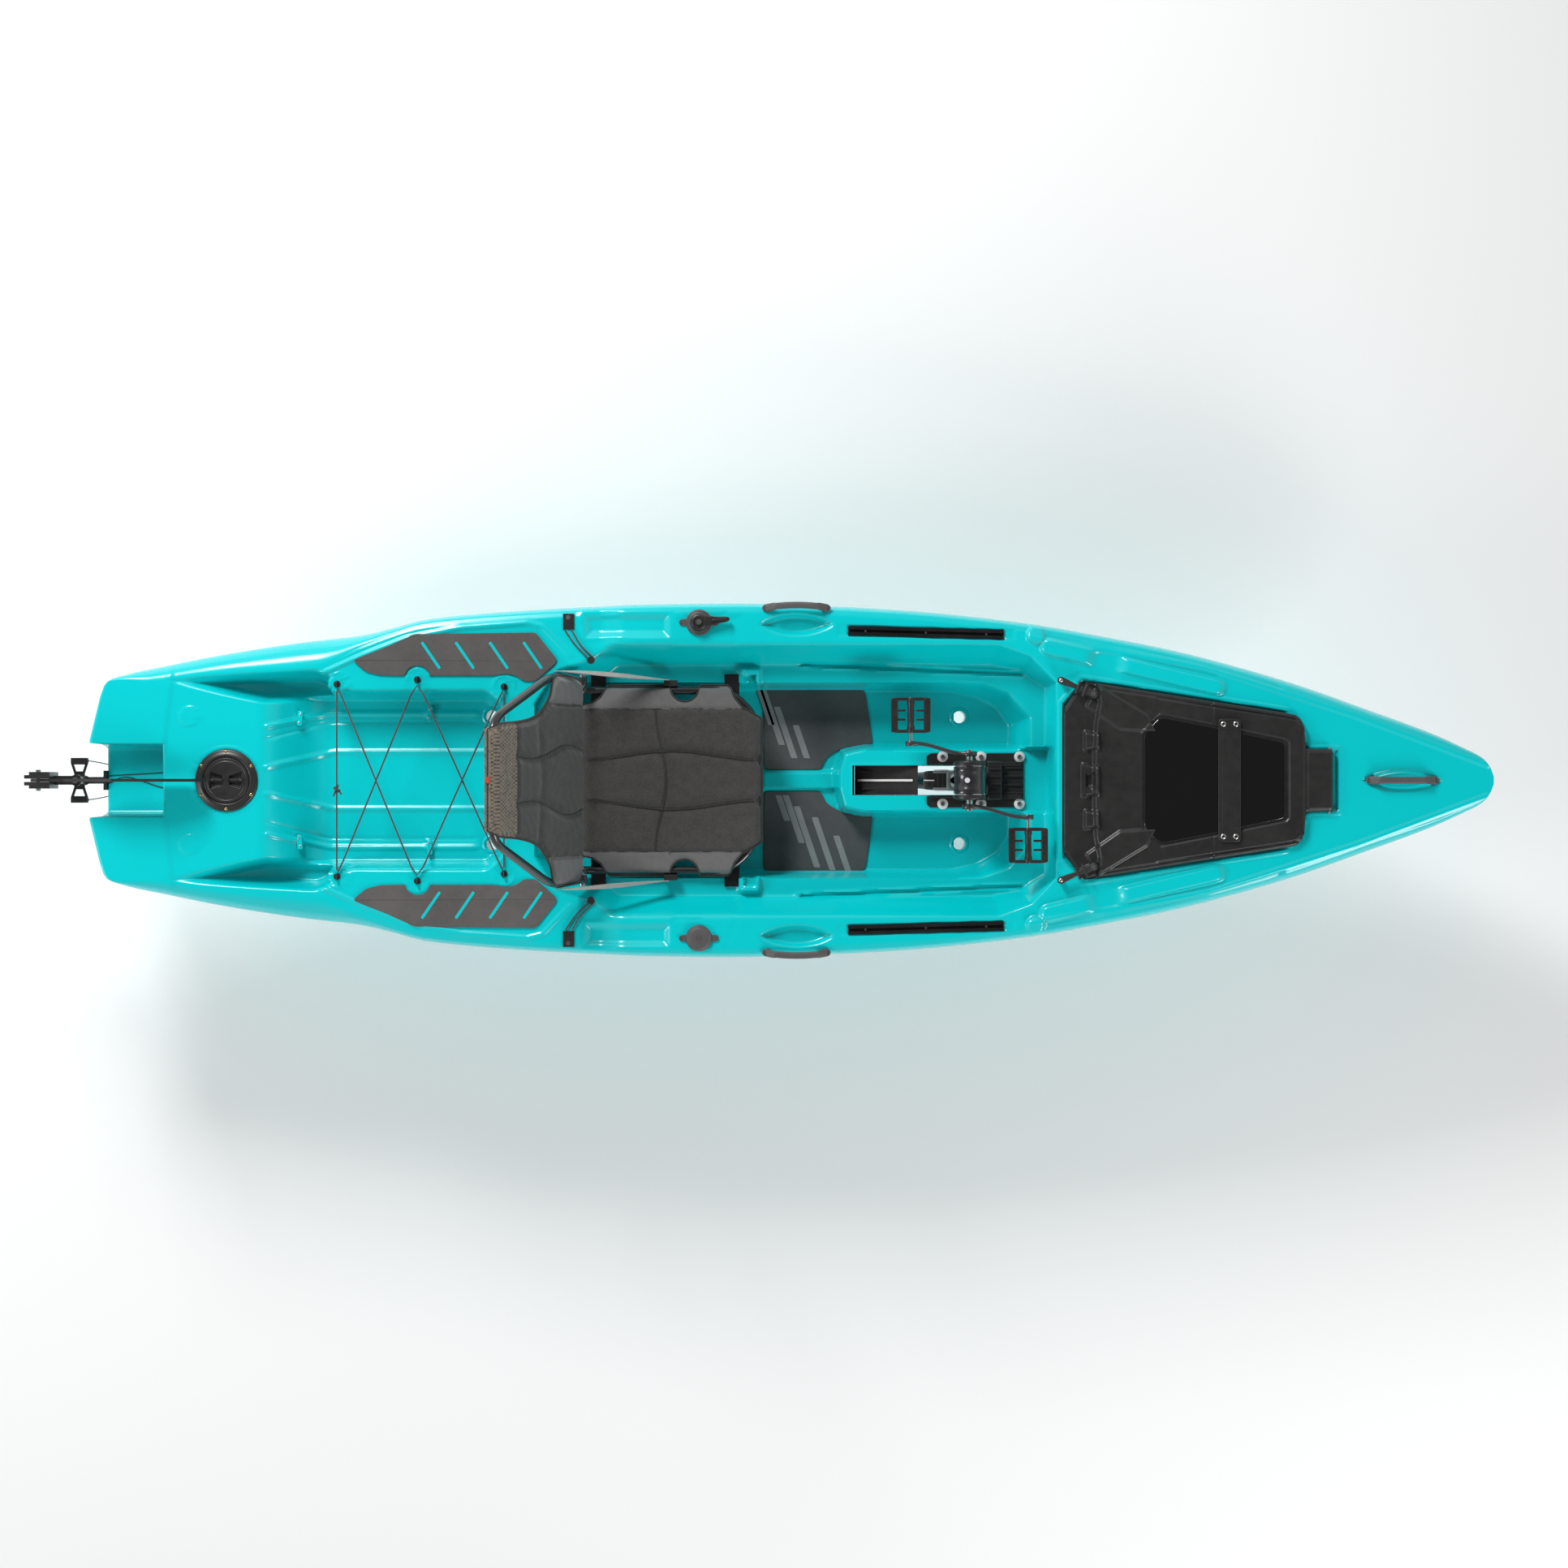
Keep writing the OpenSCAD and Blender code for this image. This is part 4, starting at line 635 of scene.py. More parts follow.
        # Tank well
        d = outline_distance(x, y, self.well_outline())
        inside = ramp(-d / 26) * ramp((x + 1412) / 190, 0.35)
        z = z + (np.minimum(self.well_floor, z) - z) * inside
        z = self.well_ribs(x, y, z, ramp((-d - 22) / 12) * ramp((x + 1400) / 20))
        for ex, ey in ((-1195, 255), (-982, 267), (-752, 248)):
            r = np.hypot(x - ex, ay - ey)
            z = z + (self.aft_deck + 0.1 - z) * ramp((33 - r) / 9)
            z += 2.6 * ramp((33 - r) / 3) * ramp((r - 24) / 4) * ((ay > ey - 4) | (r > 30))
        # Rim that bounds the side pads
        for rim in both_sides([(-1240, 282), (-1122, 334), (-1011, 377), (-870, 405), (-690, 418), (-650, 408),
                               (-575, 330)]):
            z += 5 * ramp((9 - path_distance(x, y, rim)) / 7)
        z = self.cockpit(x, y, z)
        z = self.foredeck(x, y, z)
        return self.stern_and_scoops(x, y, z)

    def well_ribs(self, x: Array, y: Array, z: Array, inside: Array) -> Array:
        """Rounded ribs, creases and moulded tie points on the floor of the tank well."""
        for path in both_sides([(-1381, 143), (-1229, 180), (-835, 180)]):
            z = z + 6 * ramp((9 - path_distance(x, y, path)) / 7) * inside
        for path in both_sides([(-1385, 35), (-1220, 76), (-803, 76)]):
            z = z + 6 * ramp((8 - path_distance(x, y, path)) / 6) * inside
        for path in both_sides([(-1385, 110), (-1240, 155), (-835, 157)]):
            z = z - 3 * ramp((6 - path_distance(x, y, path)) / 5) * inside
        for cx in (-1303, -961):
            cy = 162 if cx < -1200 else 180
            for path in both_sides([(cx - 3, cy - 15), (cx + 3, cy + 15)]):
                z = z + 4 * ramp((9 - path_distance(x, y, path)) / 3) * inside
            for path in both_sides([(cx - 3, cy - 14), (cx - 2.9, cy - 13.9)]) + both_sides([(cx + 3, cy + 14),
                    (cx + 3.1, cy + 14.1)]):
                z = z - 9 * ramp((5 - path_distance(x, y, path)) / 3) * inside
        return z

    def cockpit(self, x: Array, y: Array, z: Array) -> Array:
        """Cockpit sill, seat ledges, footwell, console, centre rib and brace grooves."""
        ay = np.abs(y)
        sill = mirrored([(-672, -200), (-615, -290), (-520, -326), (-470, -366), (560, -366), (648, -330),
                         (712, -258)])
        d = outline_distance(x, y, sill)
        run = np.interp(x, [-600, -480, 560, 650, 715], [16, 62, 62, 40, 14])
        z = z + (self.ledge - z) * ramp(-d / run, 0.22) * (d < 0)
        # Step half way down the sill, where the brace rail's groove runs
        for path in both_sides([(32, 311), (627, 284)]):
            dist = path_distance(x, y, path)
            z = z - 7 * ramp((6 - dist) / 3)
            z = z + 3 * ramp((14 - dist) / 5) * (dist > 6)
        for s in (-1, 1):
            block = [(-132, 228 * s), (-70, 228 * s), (-70, 302 * s), (-132, 302 * s)]
            d = outline_distance(x, y, block)
            z = np.where(d < 0, np.maximum(z, self.ledge + 22 * ramp(-d / 8)), z)
            pocket = [(-118, 246 * s), (-84, 246 * s), (-84, 284 * s), (-118, 284 * s)]
            z = z - 24 * ramp(-outline_distance(x, y, pocket) / 5)
        well = mirrored([(-640, -195), (-580, -262), (520, -262), (596, -238), (655, -170)])
        d = outline_distance(x, y, well)
        run = np.interp(x, [-560, 440, 600], [18, 18, 60])
        depth = ramp(-d / run)
        console = mirrored([(137, -20), (152, -74), (205, -86), (380, -84), (900, -84)])
        cd = outline_distance(x, y, console)
        rib = [(-72, -26), (170, -26), (170, 26), (-72, 26)]
        rise = 14 * ramp(-(outline_distance(x, y, rib) - 3) / 8)
        bed = np.maximum(self.floor + rise, 100 + 95 * ramp((14 - cd) / 20))
        low = z + (bed - z) * depth
        z = np.where(d < 0, np.minimum(z, low), z)
        z = np.where((cd < 6) & (x > 400) & (x < 722) & (ay < 98),
                z + (195.0 - z) * ramp((6 - cd) / 10) * ramp((706 - x) / 14), z)
        x0, x1, w = self.slot
        hole = (x > x0 + 1) & (x < x1 - 1) & (ay < w)
        z = np.where(hole, self.keel_z(x) + 2, z)
        rim = outline_distance(x, y, [(x0, -w), (x1, -w), (x1, w), (x0, w)])
        return z + 2.5 * ramp((8 - rim) / 4) * (rim > 0) * (x < 372)

    def foredeck(self, x: Array, y: Array, z: Array) -> Array:
        """Recess of the bow cover with its hinge bay, side rails and the two round bosses."""
        ay = np.abs(y)
        half = [(-1, -203), (53, -267), (582, -183), (640, -81), (723, -81)]
        plan = mirrored([(self.half_len - 1127 + px, py) for px, py in half])
        d = outline_distance(x, y, plan)
        z = z + 3 * ramp((14 - d) / 6) * (d > 0) * ramp((x - 700) / 10)
        z = z - 10 * ramp((0.5 - d) / 5)
        mouth = mirrored([(self.half_len - 1127 + px, py) for px, py in [(32, -172), (60, -232), (545, -160)]])
        z = z - 150 * ramp((-outline_distance(x, y, mouth)) / 14)
        for rail in both_sides([(690, 352), (800, 325), (1130, 246)]):
            dist = path_distance(x, y, rail)
            # Shallow dip where an open latch strap lies
            dip = ramp((60 - np.hypot(x - self.latch_rest[0], ay - self.latch_rest[1])) / 35)
            z = z + 12 * ramp((26 - dist) / 12) * (1 - dip) - 1.5 * dip
        for s in (-1, 1):
            z = z + 9 * ramp((26 - np.hypot(x - 656, y - 383 * s)) / 6)
        for edge in both_sides([(640, 378), (1111, 296), (1500, 168), (1838, 40)]):
            z = z + 4.5 * ramp((13 - path_distance(x, y, edge)) / 12)
        return z

    def stern_and_scoops(self, x: Array, y: Array, z: Array) -> Array:
        """Stern platform, side trays, steering panel, track pockets and the hollows under the grips."""
        ay = np.abs(y)
        deep = ramp(-outline_distance(x, y, [(-2000, -97), (-1655, -97), (-1655, 97), (-2000, 97)]) / 13)
        z = z + (self.platform - z) * deep
        for s in (-1, 1):
            tray = [(-540, 377 * s), (-545, 444 * s), (-309, 444 * s), (-309, 377 * s)]
            d = outline_distance(x, y, tray)
            z = z - 12 * ramp(-d / 22) + 2.5 * ramp((7 - d) / 5) * (d > 0)
            panel = [(-298, 369 * s), (-298, 446 * s), (-168, 446 * s), (-140, 369 * s)]
            d = outline_distance(x, y, panel)
            z = z - 2.5 * ramp((9 - np.abs(d)) / 6) * ((ay < 447) & (d > 0))
            turn = math.radians(-1.5) * s
            u = (x - 366) * math.cos(turn) + (y - 391 * s) * math.sin(turn)
            v = -(x - 366) * math.sin(turn) + (y - 391 * s) * math.cos(turn)
            long, across = np.abs(u) - 236, np.abs(v) - 15
            z = z - 2.5 * ramp(-np.maximum(long, across) / 3)
            long, across = np.abs(u) - 207, np.abs(v) - 13
            z = z - 8 * ramp(-np.maximum(long, across) / 2)
            r1 = np.hypot(x - 23, y - (413 - 153) * s) - 185
            r2 = np.hypot(x - 23, y - (413 + 153) * s) - 185
            z = z - 20 * ramp(-np.maximum(r1, r2) / 14)
        r1 = np.hypot(x - 1616, y - 171) - 203
        r2 = np.hypot(x - 1616, y + 171) - 203
        z = z - 16 * ramp(-np.maximum(r1, r2) / 14)
        for sx, sy in self.scuppers:
            r = np.hypot(x - sx, y - sy)
            z = z - 2.0 * ramp((30 - r) / 6)
        return z

    def section(self, x: Array, t: Array) -> tuple[Array, Array]:
        """Bottom of a cross-section: t goes from 0 at the keel to 1 at the greatest beam."""
        knots = [0, 0.3, 0.55, 0.78, 1]
        y = hermite(t, knots, [0, 0.45, 0.78, 0.94, 1])
        z = hermite(t, knots, [0, 0.03, 0.13, 0.36, 0.7])
        e = self.edge_x(x)[:, None]
        b, k, d = self.half_beam(e), self.keel_z(e), self.deck_z(e)
        return b * y[None], k + (d - k) * z[None]

    def deck_rows(self, x: Array) -> tuple[Array, Array, Array]:
        """Deck's points for the stations x, from rim to rim.

        Args:
            x: Places of the rows along the boat.

        Returns:
            The three coordinates, each with a row for every station.
        """
        y = self.columns(x)
        px = self.bent(x[:, None], y)
        z = self.height(px, y)
        z -= 9 * (1 - np.sqrt(1 - np.clip(1 - (x[:, None] + self.half_len) / 9, 0, 1) ** 2))
        e = self.edge_x(x)[:, None]
        crest, b = np.abs(y[:, -1:]), self.half_beam(e)
        drop = 0.3 * (self.deck_z(e) - self.keel_z(e))
        a = np.linspace(0, np.pi / 2, 10)[None, 1:]
        rim_y = crest + (b - crest) * np.sin(a)
        rim_z = z[:, -1:] - (drop - (self.deck_z(e) - z[:, -1:])) * (1 - np.cos(a))
        fade = np.clip(1 - (x[:, None] + self.half_len) / self.stern_run, 0, 1)
        rim_x = x[:, None] + (self.stern_shift(crest) + (self.tip_shift - self.stern_shift(crest)) * np.sin(a)) * fade
        gx = np.concatenate([rim_x[:, ::-1], px, rim_x], 1)
        gy = np.concatenate([-rim_y[:, ::-1], y, rim_y], 1)
        return gx, gy, np.concatenate([rim_z[:, ::-1], z, rim_z], 1)

    def build_deck(self) -> None:
        """Deck grid with its rounded rim, cut through at the drive slot and the drain holes."""
        gx, gy, gz = self.deck_rows(self.stations())
        cx, cy = (gx[1:, 1:] + gx[:-1, :-1]) / 2, (gy[1:, 1:] + gy[:-1, :-1]) / 2
        keep = ~((cx > self.slot[0] + 1.5) & (cx < self.slot[1] - 1.5) & (np.abs(cy) < 39.5))
        for sx, sy in self.scuppers:
            keep &= np.hypot(cx - sx, cy - sy) > 19
        shell = Shell().grid(np.stack([gx, gy, gz], 2), keep=keep)
        nose = np.stack([gx[-1], gy[-1], gz[-1]], 1)
        shell.cap(nose, flip=True)
        shell.build("hull_deck", TEAL, "hull", ("hull",), smooth=70)

    def build_bottom(self) -> None:
        """Bottom grid from rim to rim, its transom, and the walls of the slot."""
        x = self.stations()[::3]
        x = np.unique(np.concatenate([x, [self.slot[0] + 1, self.slot[1] - 1, self.half_len]]))
        t = np.unique(np.concatenate([np.linspace(0, 1, 34), np.linspace(0.9, 1, 8)]))
        y, z = self.section(x, t)
        slot_share = 40.0
        first = np.argmin(np.abs(y[len(x) // 2] - slot_share))
        near = ((x > 100) & (x < 600))[:, None] & (np.arange(len(t)) == first)[None]
        y = np.where(near, slot_share, y)
        z = z - 7 * np.exp(-((y - 150) / 12) ** 2) * ramp((1300 - np.abs(x[:, None])) / 500)
        z = z - 5 * np.exp(-(y / 10) ** 2) * ramp((np.abs(x[:, None]) - 650) / 300) * ramp((1700 - np.abs(x[:,
                None])) / 300)
        gy, gz = np.concatenate([-y[:, :0:-1], y], 1), np.concatenate([z[:, :0:-1], z], 1)
        gx = self.bent(x[:, None], gy)
        cx, cy = (gx[1:, 1:] + gx[:-1, :-1]) / 2, (gy[1:, 1:] + gy[:-1, :-1]) / 2
        keep = ~((cx > self.slot[0]) & (cx < self.slot[1]) & (np.abs(cy) < slot_share - 0.5))
        for sx, sy in self.scuppers:
            keep &= np.hypot(cx - sx, cy - sy) > 31
        shell = Shell().grid(np.stack([gx, gy, gz], 2), flip=True, keep=keep)
        self.transom(shell)
        shell.cap(np.stack([gx[-1], gy[-1], gz[-1]], 1))
        w = self.slot[2]
        ring = rounded_outline([(self.slot[0] + 1, -w), (self.slot[1] - 1, -w), (self.slot[1] - 1, w),
                (self.slot[0] + 1, w)], 2, 2)
        wall = np.stack([np.column_stack([ring, np.full(len(ring), h)]) for h in np.linspace(196, 0, 6)])
        shell.grid(wall, wrap_v=True)
        shell.build("hull_bottom", TEAL, "hull", smooth=50)

    def transom(self, shell: Shell) -> None:
        """Upright face that joins the deck's stern edge to the bottom."""
        x = self.stations()[:1]
        px, y, top = (row[0] for row in self.deck_rows(x))
        across, down = (row[0] for row in self.section(x, np.linspace(0, 1, 300)))
        low = np.interp(np.abs(y), across, down)
        h = np.linspace(0, 1, 9)[:, None]
        feet = self.bent(x[0], y)
        grid = np.stack([px + (feet - px) * h, np.broadcast_to(y, (9, len(y))), top + (low - top) * h], 2)
        shell.grid(grid, flip=False)

    def build_drains(self) -> None:
        """Four drain tubes, each with a rolled flange on the deck and a bell mouth below."""
        shell = Shell()
        for sx, sy in self.scuppers:
            top = self.well_floor if sx < 0 else self.floor
            low = 4
            r = self.scupper_r
            profile = [(46, 24), (34, 10), (r + 4, low), (r, low + 6), (r, top - 8), (r + 1.2, top - 1),
                    (r + 4, top + 1.6),
                       (r + 8, top + 0.6), (r + 12, top - 2.4)]
            a = np.linspace(0, 2 * np.pi, 48, endpoint=False)
            pr = np.asarray(profile)
            rings = np.stack([np.stack([sx + q * np.cos(a), sy + q * np.sin(a), np.full(48, h)], 1) for q, h in pr])
            shell.grid(rings, wrap_v=True, flip=True)
        shell.build("drain_tubes", TEAL, "hull")

    def build_tie_points(self) -> None:
        """Moulded tie points in the tank well: a slanted pad bridged over two openings."""
        shell, dark = Shell(), Shell()
        for cx, cy in ((-1303, 165), (-961, 180)):
            for s in (-1, 1):
                o = [(cx - 9, (cy - 19) * s), (cx + 5, (cy - 21) * s), (cx + 9, (cy + 19) * s),
                        (cx - 5, (cy + 21) * s)]
                z = float(self.height(np.array([cx + 0.0]), np.array([cy * s + 0.0]))[0])
                shell.plate(rounded_outline(o, 6, 4), z - 4, z + 4.5, 1.6)
                for k in (-1, 1):
                    dark.lathe([(0, 0.5), (2.6, 0.4), (3.2, 0)], (cx + 2 * k, (cy + 11 * k) * s, z + 4.3), sides=16)
        shell.build("tank_well_tie_points", TEAL, "hull")
        dark.build("tie_point_eyelets", STEEL, "hull", (), "steel")

    def build(self) -> None:
        """Makes all the hull's pieces."""
        self.build_tie_points()
        self.build_deck()
        self.build_bottom()
        self.build_drains()


# ---- Bow hatch ----
@dataclass
class BowHatch:
    """Moulded cover of the bow hatch with its window, cross strap and two rubber latches.

    Sizes are in millimetres in the cover's own frame: x from its aft edge, z from the sloping deck.
    """

    start: float = 727
    deck: float = 332.6
    slope: float = math.radians(3.423)
    length: float = 709
    top: float = 22.3

    def place(self, p: Array) -> Array:
        """Points of the cover's own frame in the boat's frame: turned by the deck's slope, then moved."""
        c, s = math.cos(self.slope), math.sin(self.slope)
        return np.stack([self.start + p[..., 0] * c - p[..., 2] * s, p[..., 1],
                         self.deck + p[..., 0] * s + p[..., 2] * c], -1)

    def half_width(self, x: Array) -> Array:
        """Half the cover's width at x."""
        return np.interp(x, [0, 4, 12, 46, 62, 585, 612, 626, 634, 637, 640, 703, 709],
                         [184, 194, 204, 256, 262, 178, 172, 160, 140, 88, 84, 82, 76])

    def relief(self, x: Array, y: Array) -> Array:
        """Height of the cover: a crowned panel with a low aft ledge, bosses, corner blocks and creases."""
        ay = np.abs(y)
        z = self.top - 2 * (ay / 260) ** 2
        border = self.half_width(x) - ay
        z -= 4.5 * ramp((17 - border) / 5) * (x < 632)
        aft = mirrored([(-40, -300), (86, -300), (98, -205), (88, -150), (84, -60)])
        z -= 15 * ramp((5 - outline_distance(x, y, aft)) / 11)
        for cy, w in ((0, 42), (104, 24), (-104, 24)):
            bump = mirrored([(52, -w), (100, -w + 5)]) if cy == 0 else [(58, cy - w), (100, cy - w + 5),
                    (100, cy + w - 5), (58, cy + w)]
            z += 13 * ramp((4 - outline_distance(x, y, bump)) / 8) * (x < 97)
        z -= 10 * ramp(-outline_distance(x, y, [(60, -22), (88, -20), (88, 20), (60, 22)]) / 5)
        for s in (-1, 1):
            block = [(94, 250 * s), (222, 172 * s), (246, 128 * s), (150, 134 * s), (62, 196 * s)]
            z += 8 * ramp((4 - outline_distance(x, y, block)) / 8)
            z -= 10 * ramp((17 - path_distance(x, y, [(84, 232 * s), (30, 258 * s)])) / 7)
            z -= 2.5 * ramp((4 - path_distance(x, y, [(250, 216 * s), (620, 160 * s)])) / 3)
        recess = mirrored([(210, -118), (214, -132), (256, -173), (394, -146), (585, -106), (592, -98)])
        z -= 3.4 * ramp((5 - outline_distance(x, y, recess)) / 5)
        z -= 2.4 * ramp((3 - np.abs(x - 394)) / 3) * (ay > 150)
        z -= 3.5 * ramp((x - 628) / 8)
        z += 2.0 * ramp((x - 640) / 6) * ramp((78 - ay) / 8)
        end = np.maximum(0, 9 - np.minimum(border, np.minimum(x, self.length - x) + 0.0))
        return z - (9 - np.sqrt(np.maximum(81 - end**2, 0)))

    def build_cover(self) -> None:
        """Cover as a height field over its outline, with a skirt down into the recess."""
        x = np.unique(np.concatenate([np.linspace(0, self.length, 270), [633.9, 634.6, 635.5, 636.4]]))[:, None]
        v = np.sin(np.linspace(-np.pi / 2, np.pi / 2, 150) * 0.92)[None] / math.sin(np.pi / 2 * 0.92)
        y = v * self.half_width(x)
        x = np.broadcast_to(x, y.shape)
        g = np.stack([x, y, self.relief(x, y)], 2)
        shell = Shell().grid(self.place(g))
        rim = np.concatenate([g[:, 0], g[-1, 1:], g[-2::-1, -1], g[0, -2:0:-1]])
        low = rim.copy()
        low[:, 2] = -5.6
        shell.grid(self.place(np.stack([low, rim])), wrap_v=True, flip=True)
        under = g.copy()
        under[..., 2] = -5.6
        shell.grid(self.place(under), flip=True)
        shell.build("bow_cover_moulding", BLACK, "bow_cover", ("bow_cover",), smooth=55)

    def build_window(self) -> None:
        """Glossy smoked panel with a bevelled rim."""
        half = [(214, -112), (217, -126), (256, -167), (394, -140), (576, -101), (583, -94)]
        o = rounded_outline(mirrored(half), 16, 5)
        Shell().plate(o, self.top - 3, self.top + 1.6, 1.4, self.place).build(
            "bow_window_pane", GLOSS, "bow_cover", ("bow_window",))

    def build_bridge(self) -> None:
        """Cross strap over the window, with a shallow panel and four socket screws."""
        shell = Shell()
        shell.plate(rounded_outline([(408, -162), (467, -162), (467, 162), (408, 162)], 12, 5),
                    self.top + 1.2, self.top + 7.2, 2, self.place)
        shell.plate(rounded_outline([(418, -128), (457, -128), (457, 128), (418, 128)], 8, 4),
                    self.top + 6.4, self.top + 8.0, 0.8, self.place)
        shell.build("bow_cross_strap", BLACK, "bow_cover", ("bow_bridge",))
        screws = Shell()
        for sx in (421, 454):
            for sy in (-148, 148):
                self.screw(screws, (sx, sy, self.top + 6.6), 6.6)
        screws.build("bow_strap_screws", STEEL, "bow_cover", ("bow_screws",))

    def screw(self, shell: Shell, at: tuple, r: float) -> None:
        """Domed screw head with a hexagon socket."""
        centre = self.place(np.asarray(at, float))
        axis = (-math.sin(self.slope), 0, math.cos(self.slope))
        shell.lathe([(0, 0.6), (r * 0.42, 0.6), (r * 0.45, 2.6), (r * 0.7, 2.5), (r, 1.2), (r, 0)], centre, axis, 24)

    def build_latch(self, name: str, side: int) -> None:
        """Rubber strap latch: a bar with a bulb, a cross handle, and a post that hooks over the deck's pin."""
        turn = side * (math.pi - math.radians(23))
        c, s = math.cos(turn), math.sin(turn)

        def place(p: Array) -> Array:
            """Strap points turned to the strap's own direction on the cover."""
            q = np.stack([80 + p[..., 0] * c - p[..., 1] * s, side * 228 + p[..., 0] * s + p[..., 1] * c,
                          p[..., 2] + self.top + 0.6], -1)
            return self.place(q)
        bar = Shell()
        t = np.linspace(0, 1, 40)
        w = (9 + 4.5 * np.exp(-((t - 0.02) / 0.09) ** 2) + 2.5 * np.exp(-((t - 0.98) / 0.1) ** 2)
             - 3 * np.exp(-((t - 0.5) / 0.2) ** 2))
        xs = -12 + t * 112
        end = np.sqrt(np.clip(1 - ((t - 0.5) / 0.5) ** 8, 0, 1))
        outline = np.concatenate([np.column_stack([xs, -w * end]), np.column_stack([xs[::-1],
                (w * end)[::-1]])[1:-1]])
        bar.plate(outline, 0, 6.4, 2.4, place)
        for at in (24, 44):
            bar.tube(place(np.array([[at, -17, 5.5], [at, -8, 7.6], [at, 8, 7.6], [at, 17, 5.5]])), 3.4, 12)
        a = np.linspace(0, 2 * np.pi, 28, endpoint=False)
        post = np.stack([np.stack([92 + r * np.cos(a), r * np.sin(a), np.full(28, h)], 1)
                         for r, h in ((0.1, 7.6), (6, 7.4), (9, 6.2), (9.6, 3), (8, -4), (6.5, -20.5))])
        bar.grid(place(post), wrap_v=True, flip=True)
        bar.build(f"{name}_strap", RUBBER, name, (name,), smooth=50)
        rivet = Shell()
        head = np.stack([np.stack([92 + r * np.cos(a), r * np.sin(a), np.full(28, h)], 1)
                         for r, h in ((0.1, 9.4), (3.2, 9.1), (4.8, 8), (5, 6.8))])
        rivet.grid(place(head), wrap_v=True, flip=True)
        rivet.build(f"{name}_rivet", STEEL, name, ())

    def build(self) -> None:
        """Makes all the hatch's pieces."""
        self.build_cover()
        self.build_window()
        self.build_bridge()
        self.build_latch("latch_port", 1)
        self.build_latch("latch_starboard", -1)


# ---- Round stern hatch ----
@dataclass
class SternHatch:
    """Screw-down deck plate: a flange with six screws and a lid with two finger recesses."""

    x: float = -1488
    base: float = 310.2
    ring_r: float = 83
    lid_r: float = 61

    def build(self) -> None:
        """Makes the flange and the lid."""
        b = self.base
        ring = Shell().lathe([(self.lid_r + 0.8, 2), (self.lid_r + 1, 9.5), (self.lid_r + 2.6, 11), (70, 11),
                              (72, 9.2), (78, 8.6), (81.5, 7.4), (self.ring_r, 4.5), (self.ring_r, 0)],
                             (self.x, 0, b), sides=128)
        ring.build("hatch_flange", BLACK, "hull", ("hatch_ring",), smooth=50)
        screws = Shell()
        for k in range(6):
            a = math.radians(30 + 60 * k)
            screws.lathe([(0, 1.2), (1.5, 1.2), (1.6, 2.2), (3.2, 2), (4.4, 0.8), (4.6, 0)],
                         (self.x + 76 * math.cos(a), 76 * math.sin(a), b + 8.4), sides=20)
        screws.build("hatch_flange_screws", BRONZE, "hull", (), "bronze")
        lid = Shell()
        r = np.concatenate([np.linspace(0.01, 50, 44), np.linspace(50.6, 60.6, 16)])[:, None]
        a = np.linspace(0, 2 * np.pi, 160, endpoint=False)[None]
        x, y = r * np.cos(a), r * np.sin(a)
        z = (12.6 + 1.2 * ramp((55 - r) / 3) - 1.8 * ramp((2.2 - np.abs(r - 52)) / 2)
             - 3 * ramp((r - 58) / 2.6) + 0 * a)
        for s in (-1, 1):
            wedge = [(20, 41 * s), (-20, 41 * s), (-11, 10 * s), (11, 10 * s)]
            z = z - 9 * ramp((2.5 - outline_distance(y, x, [(p[0], p[1]) for p in wedge])) / 3.5)
            z = z + 9 * ramp((4.4 - np.abs(y)) / 1.8) * (x * s > 8) * (x * s < 46)
        lid.grid(np.stack([self.x + x, y, b + z], 2), wrap_v=True)
        edge = np.stack([np.column_stack([self.x + 60.6 * np.cos(a[0]), 60.6 * np.sin(a[0]), np.full(160, h)])
                         for h in (b + 9.6, b + 3)])
        lid.grid(edge, wrap_v=True)
        lid.build("hatch_lid_moulding", BLACK, "hatch_lid", ("hatch_lid",), smooth=50)


